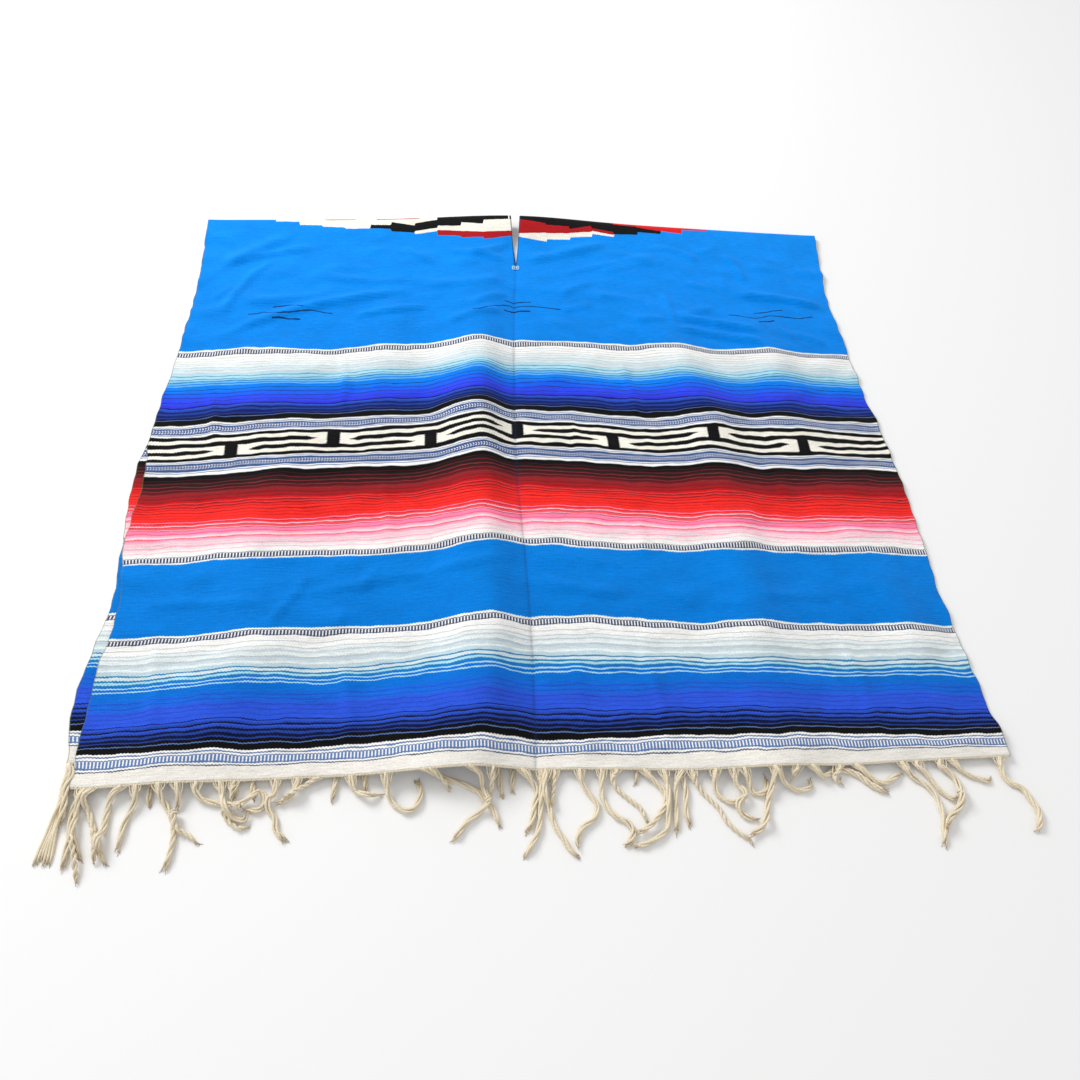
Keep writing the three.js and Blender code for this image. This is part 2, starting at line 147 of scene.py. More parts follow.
# The long soft waves that run from the shoulders towards the hem.
WAVE_HEADER = "along across rise spread"
LONG_WAVES = (
    table(
        WAVE_HEADER,
        (200, 240, 0, 50),
        (333, 257, 12, 52),
        (500, 292, 19, 56),
        (620, 284, 16, 54),
        (764, 297, 11, 44),
        (883, 296, 12, 44),
        (980, 280, 9, 60),
        (1089, 270, 11, 66),
    ),
    table(
        WAVE_HEADER,
        (280, -410, 0, 60),
        (440, -430, 9, 70),
        (573, -395, 10, 70),
        (764, -440, 8, 52),
        (883, -400, 11, 60),
        (1040, -480, 9, 60),
        (1089, -490, 7, 60),
    ),
    table(
        WAVE_HEADER,
        (210, 425, 0, 44),
        (333, 440, 11, 44),
        (500, 436, 11, 52),
        (640, 450, 5, 60),
        (780, 500, 5, 50),
        (883, 526, 9, 40),
        (1010, 520, 0, 40),
    ),
    table(
        WAVE_HEADER,
        (220, -250, 0, 44),
        (333, -262, 6, 44),
        (500, -250, 6, 50),
        (650, -270, 0, 50),
    ),
)

# How far the back half was woven ahead of the front half, at distances from the fold.
BACK_WEAVE_LEAD = table("distance lead", (0, 0), (585, 37), (755, 45), (890, 53), (1058, 50))

# How far the front half's pattern was woven ahead, at places along it.
WEAVE_DRIFT = table(
    "along drift",
    (0, 0),
    (320, 0),
    (405, 3),
    (465, 5.5),
    (512, 3),
    (575, 0),
    (770, 0),
    (890, 1.5),
    (940, 2.5),
    (1005, -1),
    (1089, -1),
)

# Small soft creases of the front layer: the two ends, how far the middle bows to the side, the
# width of the ridge and its height.
CREASE_HEADER = "across0 along0 across1 along1 bow width height"
SMALL_CREASES = table(
    CREASE_HEADER,
    # the left shoulder
    (-572, 130, -424, 33, 0, 15, 3.6),
    (-566, 128, -385, 75, 8, 9, 3),
    (-456, 102, -545, 255, 16, 10, 2.8),
    (-571, 213, -534, 172, 0, 9, 2),
    (-592, 49, -520, 35, 3, 10, 1.8),
    (-520, 218, -330, 191, -3, 15, 3.2),
    (-552, 307, -194, 197, 26, 12, 4.4),
    (-330, 259, -166, 239, 3, 8, 4.2),
    (-292, 90, -250, 73, 0, 9, 1.8),
    (-228, 75, -155, 131, -6, 8, 2.4),
    (-382, 154, -204, 167, -5, 9, 2.2),
    (-390, 127, -322, 132, 0, 8, 1.4),
    (-512, 342, -460, 322, 0, 8, 2.2),
    # between the left shoulder and the slit
    (-112, 112, -22, 68, -4, 10, 3.2),
    (-152, 91, -24, 123, 2, 9, 2.6),
    (-196, 186, -30, 173, -5, 15, 3),
    (-104, 247, -34, 213, 4, 10, 3),
    (-150, 287, -40, 260, 4, 10, 2.6),
    # the right shoulder
    (-4, 121, 184, 51, -5, 13, 4),
    (58, 159, 278, 84, 4, 9, 2.8),
    (132, 152, 264, 99, 3, 8, 2),
    (58, 217, 132, 171, 3, 9, 2.4),
    (242, 69, 354, 104, 20, 10, 3.2),
    (348, 75, 402, 45, 0, 8, 2),
    (400, 68, 436, 155, 2, 10, 3.2),
    (384, 136, 388, 176, 0, 9, 1.8),
    (396, 188, 594, 210, 4, 9, 5.6),
    (444, 106, 524, 112, 2, 9, 1.8),
    (270, 257, 364, 219, -2, 8, 2.2),
    (266, 260, 444, 295, 8, 10, 5.4),
    (260, 293, 444, 326, 10, 11, 6.2),
    (192, 270, 262, 266, 0, 8, 2.2),
    (262, 182, 268, 305, 1, 8, 2.2),
    (462, 261, 502, 304, 0, 9, 2.2),
    (498, 283, 564, 310, 2, 9, 2.8),
    (128, 209, 228, 218, 3, 10, 1.8),
    (60, 253, 127, 228, -2, 8, 2),
    (308, 162, 372, 182, 2, 9, 1.8),
    # the lower blue field
    (-432, 840, -36, 790, 6, 9, 2.4),
    (-588, 828, -384, 840, 0, 8, 2.2),
    (-343, 792, -392, 884, 0, 8, 2.2),
    (-244, 784, -274, 830, 0, 8, 1.6),
    (-286, 852, -302, 884, 0, 8, 1.4),
    (-12, 820, 48, 838, 0, 8, 2.2),
    (-22, 836, 122, 848, 3, 9, 1.8),
    (170, 828, 212, 864, 0, 8, 1.8),
    (264, 832, 242, 864, 0, 8, 1.6),
    (298, 840, 432, 842, 3, 8, 1.8),
    (422, 846, 454, 878, 0, 8, 1.8),
    # across the stripes
    (-325, 345, -318, 470, 4, 10, 2.2),
    (-530, 420, -505, 560, 6, 11, 2.2),
    (150, 350, 168, 520, 8, 12, 2.2),
    (60, 469, 76, 640, -6, 11, 1.6),
    (372, 560, 392, 740, 8, 12, 1.8),
    (-250, 620, -238, 760, 5, 11, 1.8),
    (160, 640, 150, 790, 6, 12, 1.6),
    (-540, 880, -520, 1040, 6, 12, 2),
    (-300, 900, -276, 1060, 8, 13, 2.4),
    (120, 900, 138, 1080, 6, 12, 2.4),
    (410, 900, 430, 1070, 8, 13, 2.6),
    (20, 940, 34, 1080, 4, 11, 1.6),
)


# ---- the cloth's form ---------------------------------------------------------------------------
def smooth(t):
    """0 below 0, 1 above 1, and the cubic 3t^2 - 2t^3 between."""
    c = np.clip(t, 0, 1)
    return c * c * (3 - 2 * c)


def bell(distance, spread):
    """The bell curve exp(-(distance / spread)^2)."""
    return np.exp(-((distance / spread) ** 2))


def through(places, values, place):
    """A cubic through the rows of a table, each row's slope taken from its two neighbours, held
    level past the ends. values has a row for each place, and may have a column for each point."""
    place = np.clip(np.asarray(place, float), places[0], places[-1])
    last = len(places) - 1
    row = np.clip(np.searchsorted(places, place, side="left") - 1, 0, last - 1)
    before = np.maximum(np.arange(last + 1) - 1, 0)
    after = np.minimum(np.arange(last + 1) + 1, last)
    gaps = places[after] - places[before]
    slopes = (values[after] - values[before]) / (gaps if values.ndim == 1 else gaps[:, None])
    point = np.arange(place.size)

    def at(rows, index):
        return rows[index] if rows.ndim == 1 else rows[index, point]

    span = places[row + 1] - places[row]
    t = (place - places[row]) / span
    value = at(values, row) * (1 + 2 * t) * (1 - t) ** 2
    value += at(values, row + 1) * (3 - 2 * t) * t**2
    value += at(slopes, row) * span * t * (1 - t) ** 2
    return value + at(slopes, row + 1) * span * (t - 1) * t**2


def value_at(sections, column, along):
    """One column of a table at each place along."""
    return through(sections["along"], sections[column], along)


def crease_line(along):
    """Where the pressed crease line runs, across."""
    return value_at(CREASE_SECTIONS, "line", along)


def weft_bow(across, along):
    """How far the weft is drawn towards the fold: the sections' cubics along, joined across."""
    columns = ("left", "mid_left", "middle", "mid_right", "right")
    values = np.array([value_at(WEFT_BOW_SECTIONS, name, along) for name in columns])
    return through(WEFT_BOW_PLACES, values, across)


def slit_half_width(along):
    """Half the slit's width, a narrow V to each side of the fold."""
    length = np.where(along >= 0, SLIT_FRONT_LENGTH, SLIT_BACK_LENGTH)
    return SLIT_WIDTH / 2 * np.maximum(0, 1 - np.abs(along) / length) ** SLIT_TAPER


def edge_pull(across, along, layer):
    """The side edges' wander, times the fourth power of the distance from the middle, and the
    scallops of the selvedge, a sum of three waves that dies out a few centimetres in."""
    share = np.abs(across) / (CLOTH_WIDTH / 2)
    pulls = (value_at(EDGE_SECTIONS, f"{layer}_{side}", along) for side in ("left", "right"))
    phase = np.where(across < 0, *SCALLOP_PHASES[layer])
    waves = sum(np.sin(2 * math.pi * along / length + phase * length) for length in SCALLOP_LENGTHS)
    scallops = SCALLOP_REACH * waves * np.exp(-(1 - share) * CLOTH_WIDTH / 2 / SCALLOP_DEPTH)
    wander = np.where(across < 0, *pulls) * share**EDGE_PULL_POWER
    return wander + scallops * smooth(along / SCALLOP_START)


def fold_radius(across):
    """The radius of the shoulder fold, largest at the neck."""
    rise = bell(across - CREASE_SECTIONS["line"][0], FOLD_RISE_SPREAD)
    return FOLD_RADIUS_SIDE + FOLD_RADIUS_RISE * rise


def wave_height(across, along):
    """Air between the layers, the hump beside the crease and the long waves as bell curves, all
    pressed down along the crease line, and the hem's lift over the back fringe."""
    edge_distance = CLOTH_WIDTH / 2 - np.abs(across)
    height = PUFF_HEIGHT * smooth(edge_distance / PUFF_EDGE_WIDTH)
    from_peak = across - value_at(CREASE_SECTIONS, "peak", along)
    spreads = (value_at(CREASE_SECTIONS, side, along) for side in ("left", "right"))
    hump = bell(from_peak, np.where(from_peak < 0, *spreads))
    height += value_at(CREASE_SECTIONS, "rise", along) * hump
    for wave in LONG_WAVES:
        from_wave = across - value_at(wave, "across", along)
        height += value_at(wave, "rise", along) * bell(from_wave, value_at(wave, "spread", along))
    from_crease = np.abs(across - crease_line(along))
    pressed = 1 - VALLEY_DEPTH * np.exp(-from_crease / VALLEY_WIDTH)
    return height * pressed + HEM_LIFT * smooth((along - HEM_LIFT_START) / HEM_LIFT_LENGTH)


CREASE_END_FADE = 0.22  # share of a crease's length over which it dies out
CREASE_STEEPNESS = 0.6  # how much narrower a ridge's near side is
CREASE_GAIN = 1.6
CREASE_CUTOFF = 3  # widths from its line past which a crease is nothing


def small_creases(across, along):
    """Each small crease is a ridge along a bowed line: its height times a bell of the distance
    from the line, steeper on the side towards the hem, fading out over its two ends."""
    height = np.zeros_like(across)
    for values in zip(*SMALL_CREASES.values()):
        across0, along0, across1, along1, bow, width, rise = values
        run = np.array([across1 - across0, along1 - along0])
        length = np.hypot(*run)
        run /= length
        t = ((across - across0) * run[0] + (along - along0) * run[1]) / length
        side = (across - across0) * run[1] - (along - along0) * run[0]
        side -= math.copysign(1, run[0]) * bow * 4 * t * (1 - t)
        towards_hem = side * math.copysign(1, run[0]) < 0
        distance = np.abs(side) / np.where(towards_hem, width * CREASE_STEEPNESS, width)
        near = distance < CREASE_CUTOFF
        fade = smooth(t / CREASE_END_FADE) * smooth((1 - t) / CREASE_END_FADE)
        height[near] += (CREASE_GAIN * rise * fade * np.exp(-(distance**2)))[near]
    return height


RUMPLE_SEED = 11
RUMPLE_WAVES = 90
RUMPLE_HEIGHT = 1.15
RUMPLE_LENGTHS = (32, 130)
RUMPLE_TURN_SPREAD = 0.5  # radians, about the direction of the weft


def rumple(across, along):
    """Slight unevenness all over: a sum of many long ripples, mostly lying along the weft."""
    rng = np.random.default_rng(RUMPLE_SEED)
    height = np.zeros_like(across)
    for _ in range(RUMPLE_WAVES):
        length = rng.uniform(*RUMPLE_LENGTHS)
        turn = rng.normal(math.pi / 2, RUMPLE_TURN_SPREAD)
        phase = rng.uniform(0, 2 * math.pi)
        travel = across * math.cos(turn) + along * math.sin(turn)
        height += np.sin(2 * math.pi * travel / length + phase)
    return RUMPLE_HEIGHT * height / math.sqrt(RUMPLE_WAVES / 2)


SELVEDGE_RIPPLE_HEIGHT = 1.3
SELVEDGE_RIPPLE_LENGTH = 74
SELVEDGE_RIPPLE_WIDTH = 16
SELVEDGE_DRIFT_LENGTHS = (190, 600)  # along and across, over which the ripple's phase drifts
SELVEDGE_DRIFT = 2.2


def selvedge_ripple(across, along):
    """The side edges lift in a slow ripple that dies out a few centimetres in."""
    edge_distance = CLOTH_WIDTH / 2 - np.abs(across)
    slow = np.sin(along / SELVEDGE_DRIFT_LENGTHS[0] + across / SELVEDGE_DRIFT_LENGTHS[1])
    wave = np.sin(2 * math.pi * along / SELVEDGE_RIPPLE_LENGTH + SELVEDGE_DRIFT * slow)
    return SELVEDGE_RIPPLE_HEIGHT * (1 + wave) * np.exp(-edge_distance / SELVEDGE_RIPPLE_WIDTH)


def front_surface(across, along):
    """The middle of the front layer's wall. Below along 0 it runs round the shoulder fold, a
    half circle from the floor to the top, and past that it settles onto the back layer."""
    radius = fold_radius(across)
    on_top = np.maximum(along, 0)
    x = across + edge_pull(across, on_top, "front")
    floor = CLOTH_WALL / 2
    angle = math.pi / 2 + np.minimum(along, 0) / radius
    bow = weft_bow(across, 0 * along) * (1 + np.minimum(along, 0) / (math.pi * radius))
    y_fold = bow + radius * np.cos(angle)
    z_fold = floor + radius * (1 + np.sin(angle))
    relief = small_creases(across, along) + rumple(across, along) + selvedge_ripple(across, along)
    settled = floor + CLOTH_WALL + PIECE_GAP + wave_height(across, on_top) + np.maximum(relief, 0)
    fold_top = floor + 2 * radius
    z_top = fold_top + (settled - fold_top) * smooth(on_top / FOLD_SETTLE_LENGTH)
    y = np.where(along < 0, y_fold, weft_bow(across, on_top) - along)
    return np.stack([x, y, np.where(along < 0, z_fold, z_top)], -1)


def back_surface(across, distance):
    """The middle of the back layer's wall, flat on the floor."""
    x = across + edge_pull(across, distance, "back")
    return np.stack([x, -distance, np.full_like(x, CLOTH_WALL / 2)], -1)


def surface_normal(surface, across, along):
    """The surface's unit normal, from steps of half a millimetre both ways."""
    step = 0.5
    right = surface(across + step, along) - surface(across - step, along)
    down = surface(across, along + step) - surface(across, along - step)
    normal = np.cross(down, right)
    return normal / np.linalg.norm(normal, axis=1, keepdims=True)


# ---- meshes --------------------------------------------------------------------------------------
back_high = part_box("back_panel")[1]
FRAME_SHIFT = np.array(
    [back_high.x / MM - CLOTH_WIDTH / 2 - FOLD_CORNER_REACH, back_high.y / MM + PIECE_GAP, 0]
)


def new_object(name, material, points, faces, uv):
    """A mesh object at the origin from points in millimetres on the cloth."""
    mesh = bpy.data.meshes.new(name)
    places = ((points + FRAME_SHIFT) * MM).tolist()
    mesh.from_pydata(places, [], [list(face) for face in faces])
    layer = mesh.uv_layers.new(name="cloth")
    loops = np.empty(len(mesh.loops), np.int32)
    mesh.loops.foreach_get("vertex_index", loops)
    layer.data.foreach_set("uv", (uv * MM)[loops].astype(np.float32).ravel())
    mesh.validate()
    mesh.polygons.foreach_set("use_smooth", np.ones(len(mesh.polygons), bool))
    mesh.materials.append(material)
    obj = bpy.data.objects.new(name, mesh)
    bpy.context.scene.collection.objects.link(obj)
    return obj


def keep_values(obj, name, values):
    """Keeps a value for each point of an object, for its material to read."""
    layer = obj.data.attributes.new(name, "FLOAT", "POINT")
    layer.data.foreach_set("value", np.asarray(values, np.float32))


def wall_mesh(middles, normals, halves, faces, uv):
    """A wall round a middle surface: its points moved out to both sides by half the local wall,
    and closed along every edge that only one face has. Gives points, faces and uv."""
    count = len(middles)
    out = normals * halves[:, None]
    points = np.concatenate([middles + out, middles - out])
    edges = np.concatenate([faces[:, [i, (i + 1) % 4]] for i in range(4)])
    forward = edges[:, 0] * count + edges[:, 1]
    backward = edges[:, 1] * count + edges[:, 0]
    rim = edges[~np.isin(forward, backward)]
    closing = np.stack([rim[:, 1], rim[:, 0], rim[:, 0] + count, rim[:, 1] + count], 1)
    faces = np.concatenate([faces, faces[:, ::-1] + count, closing])
    return points, faces, np.concatenate([uv, uv])


def slit_grid(rows, shares, place):
    """Two halves of columns that meet on the crease line, joined into one column wherever the
    slit is closed. place(row, half, share) gives across and along. Faces turn upwards."""
    row_count, column_count = len(rows), len(shares)
    row, share = (part.ravel() for part in np.meshgrid(rows, shares, indexing="ij"))
    left, right = (np.stack(place(row, half, share), 1) for half in (-1, 1))
    index_left = np.arange(row_count * column_count).reshape(row_count, column_count)
    index_right = index_left + row_count * column_count
    closed = slit_half_width(rows) == 0
    index_right[closed, 0] = index_left[closed, 0]

    def quads(index, order):
        corners = (index[:-1, :-1], index[1:, :-1], index[1:, 1:], index[:-1, 1:])
        return np.stack([corners[i].ravel() for i in order], 1)

    faces = np.concatenate([quads(index_left, (3, 2, 1, 0)), quads(index_right, (0, 1, 2, 3))])
    used, faces = np.unique(faces, return_inverse=True)
    places = np.concatenate([left, right])[used]
    return places[:, 0], places[:, 1], faces.reshape(-1, 4)


def column_across(row, half, share):
    """The place of a column: its share of the way from the slit's lip to the side edge."""
    lip = crease_line(np.maximum(row, 0)) + half * slit_half_width(row)
    return lip + (half * CLOTH_WIDTH / 2 - lip) * share


def wall_halves(across, along, length):
    """Half the wall's thickness, which thins in a quarter round towards every free edge."""
    to_side = CLOTH_WIDTH / 2 - np.abs(across)
    to_lip = np.abs(across - crease_line(np.maximum(along, 0))) - slit_half_width(along)
    to_lip = np.where(slit_half_width(along) > 0, to_lip, CLOTH_WIDTH)
    distance = np.minimum(np.minimum(to_side, length - along), to_lip)
    rounding = 1 - np.clip(distance / EDGE_ROUNDING, 0, 1)
    share = EDGE_WALL_SHARE + (1 - EDGE_WALL_SHARE) * np.sqrt(1 - rounding**2)
    return CLOTH_WALL / 2 * share


GRID_STEP = 5.9
FOLD_ROWS = 12
EDGE_STEPS = (0.6, 1.6, 4)  # from a free edge
CREASE_STEPS = (1.2, 2.6, 4.4, 7, 10.5)  # from the crease line
STEP_AFTER_CREASE = 5
GRID_EDGE = 6  # from a side edge, where the even steps end
GRID_HEM = 7  # the same at a hem
BACK_ROWS = (12, 90)  # beside the slit and below it
BACK_COLUMNS = 60
HALF = CLOTH_WIDTH / 2
EDGE_SHARES = 1 - np.array(EDGE_STEPS[::-1]) / HALF
HEM_STEPS = np.array([*EDGE_STEPS[::-1], 0])


def front_cloth(material):
    """The front layer with the shoulder fold, as a fine grid over the front surface."""
    below = FRONT_LENGTH - SLIT_FRONT_LENGTH
    beside_slit = np.linspace(0, SLIT_FRONT_LENGTH, round(SLIT_FRONT_LENGTH / GRID_STEP))[:-1]
    below_slit = np.linspace(SLIT_FRONT_LENGTH, FRONT_LENGTH - GRID_HEM, round(below / GRID_STEP))
    fold = np.arange(-FOLD_ROWS, 0) / FOLD_ROWS
    rows = np.concatenate([fold, beside_slit, below_slit, FRONT_LENGTH - HEM_STEPS])
    first = CREASE_STEPS[-1] + STEP_AFTER_CREASE
    inner = np.linspace(first, HALF - GRID_EDGE, round(HALF / GRID_STEP) - 2) / HALF
    shares = np.concatenate([[0], np.array(CREASE_STEPS) / HALF, inner, EDGE_SHARES, [1]])

    def place(row, side, share):
        across = column_across(row, side, share)
        return across, np.where(row < 0, row * math.pi * fold_radius(across), row)

    across, along, faces = slit_grid(rows, shares, place)
    middles = front_surface(across, along)
    normals = surface_normal(front_surface, across, along)
    halves = wall_halves(across, along, FRONT_LENGTH)
    uv = np.stack([across, along + value_at(WEAVE_DRIFT, "drift", along)], 1)
    obj = new_object("front_cloth", material, *wall_mesh(middles, normals, halves, faces, uv))
    keep_values(obj, "from_crease", np.tile(across - crease_line(np.maximum(along, 0)), 2))
    return obj


def back_cloth(material):
    """The back layer: flat, with the same slit, its pattern continued past the fold."""
    beside_slit = np.linspace(PIECE_GAP, SLIT_BACK_LENGTH, BACK_ROWS[0])
    below_slit = np.linspace(SLIT_BACK_LENGTH, BACK_LENGTH - GRID_HEM, BACK_ROWS[1])[1:]
    rows = -np.concatenate([beside_slit, below_slit, BACK_LENGTH - HEM_STEPS])
    inner = np.linspace(GRID_EDGE, HALF - GRID_EDGE, BACK_COLUMNS) / HALF
    shares = np.concatenate([[0], np.array(EDGE_STEPS) / HALF, inner, EDGE_SHARES, [1]])

    def place(row, side, share):
        return column_across(row, side, share), row

    across, along, faces = slit_grid(rows, shares, place)
    distance = -along
    middles = back_surface(across, distance)
    normals = np.tile([0.0, 0.0, 1.0], (len(across), 1))
    halves = wall_halves(across, distance, BACK_LENGTH)
    lead = np.interp(distance, BACK_WEAVE_LEAD["distance"], BACK_WEAVE_LEAD["lead"])
    uv = np.stack([across, -(math.pi * fold_radius(across) + distance + lead)], 1)
    obj = new_object("back_cloth", material, *wall_mesh(middles, normals, halves, faces, uv))
    keep_values(obj, "from_crease", np.tile(across - crease_line(0 * across), 2))
    return obj


# ---- colours and stripes ------------------------------------------------------------------------
def paint(red, green, blue):
    """A display colour, 0 to 255 each, as the linear colour that a shader takes."""
    share = np.array([red, green, blue]) / 255
    linear = np.where(share > 0.04045, ((share + 0.055) / 1.055) ** 2.4, share / 12.92)
    return (*linear.tolist(), 1.0)


COLOURS = dict(
    field_top=(0, 140, 240), field=(0, 137, 238), field_low=(0, 130, 228), deep=(0, 126, 220),
    deep_low=(0, 120, 212), white=(243, 242, 239), bone=(244, 240, 228), hem=(238, 234, 226),
    sea=(22, 102, 214), indigo=(45, 86, 216), indigo_dim=(34, 72, 190), denim=(34, 62, 146),
    faded=(88, 116, 176), grey=(186, 196, 204), steel=(92, 120, 166), pale=(228, 236, 235),
    ice=(208, 224, 229), mist=(190, 212, 220), aqua=(168, 216, 232), sky=(104, 178, 228),
    teal=(38, 124, 176), slate=(66, 78, 108), border=(56, 88, 142), ladder=(98, 128, 180),
    # lip is a painted shadow: the dark teal inside the slit's lips
    # pressed is painted shade along the storage crease line
    # selvedge is painted shade: a dark olive along the side edges
    lip=(12, 70, 92), pressed=(22, 44, 78), selvedge=(84, 100, 62), azure=(8, 124, 234),
    azure_low=(6, 110, 208), royal=(26, 96, 238), cobalt=(46, 74, 236), violet=(52, 50, 214),
    dusk=(34, 52, 124), navy=(12, 32, 104), ink=(10, 18, 54), black=(13, 13, 15),
    umber=(44, 28, 28), maroon_dark=(76, 22, 28), maroon=(118, 30, 36), maroon_light=(136, 46, 50),
    brick=(150, 32, 36), crimson=(176, 24, 30), red=(222, 28, 32), scarlet=(246, 48, 42),
    ember=(238, 70, 66), coral=(250, 84, 96), pink=(255, 132, 172), blush=(255, 190, 206),
    petal=(244, 214, 220),
)
PAINTS = {name: paint(*colour) for name, colour in COLOURS.items()}

# The stripes of the weft: where each one starts, its colour there, and its colour at its end
# where that is another.
STRIPES = (
    # the upper blue field, darker towards the stripes: partly the yarn's own tone, partly painted
    # shade
    (-40, "field_top"), (0, "field_top", "field"), (150, "field", "field_low"),
    # the upper blue band
    (332.2, "aqua", "white"), (333.4, "white"), (336, "slate"), (337.2, "white"), (344.8, "slate"),
    (346, "white"), (352, "grey"), (352.9, "white"), (358, "grey"), (359, "white"), (363.6, "grey"),
    (364.7, "pale"), (369, "grey"), (370, "pale"), (375, "grey"), (376.2, "ice"), (381.5, "grey"),
    (382.7, "ice"), (388, "grey"), (389.2, "mist", "aqua"), (395, "teal"), (396.3, "aqua"),
    (402, "teal"), (403.6, "aqua", "sky"), (407.5, "teal"), (409.4, "sky"), (413.4, "azure"),
    (416, "sky"), (418.6, "azure"), (428, "navy"), (429, "azure", "royal"), (437, "dusk"),
    (438.2, "royal"), (446, "dusk"), (447.2, "cobalt"), (455.6, "dusk"),
    (456.8, "cobalt", "violet"), (465, "navy"), (467.2, "indigo", "denim"), (473, "navy"),
    (476.2, "denim"), (480, "navy"), (484.2, "dusk"), (486.6, "ink"), (489.6, "faded"),
    (490.6, "black"),
    # the fret and its borders
    (500.4, "white"), (502.8, "steel"), (504, "white"), (505.4, "border"), (517.4, "white"),
    (518.8, "steel"), (520, "white"), (523, "black"), (573, "white"), (575.2, "steel"),
    (576.4, "white"), (578, "border"), (592.2, "white"), (594, "steel"), (595.4, "white"),
    (600.3, "black"),
    # the red band
    (608.6, "maroon_dark"), (609.8, "black", "umber"), (615, "maroon"), (616.2, "umber"),
    (621.8, "maroon_light"), (623.2, "umber", "maroon_dark"), (628.4, "maroon_light"),
    (629.8, "maroon_dark", "maroon"), (635, "maroon_light"), (636.4, "brick"), (641.6, "maroon"),
    (643, "brick", "crimson"), (648.6, "maroon"), (650, "crimson", "red"), (654.4, "ember"),
    (655.6, "maroon"), (657.2, "red"), (659.6, "ember"), (660.8, "maroon"),
    (662.4, "red", "scarlet"), (666, "crimson"), (667.2, "scarlet"), (671.4, "crimson"),
    (673, "scarlet"), (677, "red"), (678.4, "scarlet"), (682, "red"), (683.4, "scarlet"),
    (690, "pink"), (691.4, "red"), (692.8, "scarlet", "coral"), (696.4, "blush"),
    (698.2, "crimson"), (699.2, "coral"), (703.2, "blush"), (704.4, "crimson"), (705.4, "pink"),
    (711, "coral"), (712.2, "pink", "blush"), (717, "petal"), (720, "coral"),
    (721.2, "pink", "blush"), (726.4, "petal"), (729, "blush"), (730.4, "petal"), (734, "pink"),
    (735.2, "petal", "white"), (742, "blush"), (743.4, "white"), (751, "slate"), (752.2, "white"),
    (759.8, "slate"), (760.9, "white"), (763, "aqua", "field_low"),
    # the lower blue field
    (764, "deep", "deep_low"),
    # the lower blue band
    (883, "aqua", "white"), (884.2, "white"), (886.4, "slate"), (887.6, "white"), (894, "slate"),
    (895.2, "white"), (903.6, "grey"), (904.8, "white"), (911.6, "grey"), (912.8, "pale"),
    (917, "grey", "pale"), (921, "pale"), (925, "grey", "ice"), (933, "pale"), (936, "mist"),
    (941, "teal"), (943, "ice"), (947, "teal"), (949.4, "aqua"), (952.4, "teal", "azure_low"),
    (956.8, "aqua"), (958.6, "azure_low"), (962, "aqua"), (963.6, "azure_low"),
    (970, "azure_low", "sea"), (978, "indigo_dim"), (979, "sea"), (984, "indigo_dim"),
    (985, "sea", "indigo"), (991, "indigo_dim"), (992, "indigo"), (997, "indigo_dim"),
    (998, "indigo"), (1003.4, "indigo_dim"), (1004.4, "indigo"), (1009.6, "navy"),
    (1011, "indigo", "denim"), (1016, "ink"), (1018.2, "indigo", "denim"), (1022.6, "ink"),
    (1025.4, "denim"), (1028.6, "ink"), (1032.4, "denim"), (1034.2, "black"), (1038.6, "faded"),
    (1039.8, "black"),
    # the hem
    (1048.6, "white"), (1051.2, "steel"), (1053.2, "white"), (1055.8, "steel"), (1057.2, "white"),
    (1064.8, "steel"), (1066.6, "white"), (1069, "slate"), (1070.6, "hem"), (1120, "hem"),
)
STRIPE_CHANGE = 0.2  # over which one colour changes to the next
STRIPES_A_RAMP = 15
RAMP_LENGTH = 100  # the most a ramp of thin stripes covers

LADDERS = ((341, 3.8, "slate"), (756, 3.8, "slate"), (890.8, 3.2, "slate"), (1061, 3.8, "ladder"))
LADDER_PITCH = 4.4
LADDER_RUNG = 0.6  # of the pitch
BORDERS = (511.4, 585.1)
BORDER_HALF_WIDTH = 3.8
BORDER_PITCH = 4.2
BORDER_SLANT = 0.7
BORDER_DASH = 0.4  # of the pitch
BORDER_GAP = 0.6  # from the border's middle to a row of dashes

FRET_BARS = {"top": (530.6, 537.4), "mid": (545.6, 551.8), "low": (559.4, 566.4)}
FRET_HIGH_BLOCKS = (-326, -32, 291)
FRET_LOW_BLOCKS = (-479, -173, 125, 445)
FRET_BLOCK = 10  # half the width of a black block
FRET_POINT = 24  # where the black gap between two bars comes to a point
FRET_CAP = 40  # where that gap has its whole width
FRET_STEP = 2  # along, over which a block's side steps in or out
FRET_TOOTH = 2.4  # how far it steps
BAR_TOOTH = 0.9  # the same for a bar's edge

# The serrated neck motif, in four layers from the fold outwards. Each row is one step of the
# pattern: from and to across, and each layer's outer edge at both ends of the step.
MOTIF_HEADER = "from to a0 a1 b0 b1 c0 c1 d0 d1"
MOTIF_LEFT = table(
    MOTIF_HEADER,
    (-500, -475, -20, -20, -20, -20, -20, -20, -20, -20),
    (-475, -429, 5, 6, 5, 6, 5, 6, 5, 6),
    (-429, -385, 15, 16.5, 15, 16.5, 15, 16.5, 15, 16.5),
    (-385, -341, 20, 23, 20, 23, 20, 23, 20, 23),
    (-341, -293, 27, 26, 27, 26, 27, 26, 27, 26),
    (-293, -254, 15.6, 18, 26, 28, 26, 28, 26, 28),
    (-254, -208, 9.4, 21, 34.4, 40, 34.4, 40, 34.4, 40),
    (-208, -163, 15, 7, 35.6, 29.4, 43.8, 37.5, 43.8, 37.5),
    (-163, -118, -20, -20, 23.8, 26.9, 35, 40, 48.8, 53.8),
    (-118, -74, -20, -20, 17.5, 23, 40.6, 43.8, 58, 57.5),
    (-74, -12, -20, -20, 12.5, 10, 43.8, 39, 63, 50),
)
MOTIF_LEFT_PAINTS = ("bone", "black", "bone", "crimson")
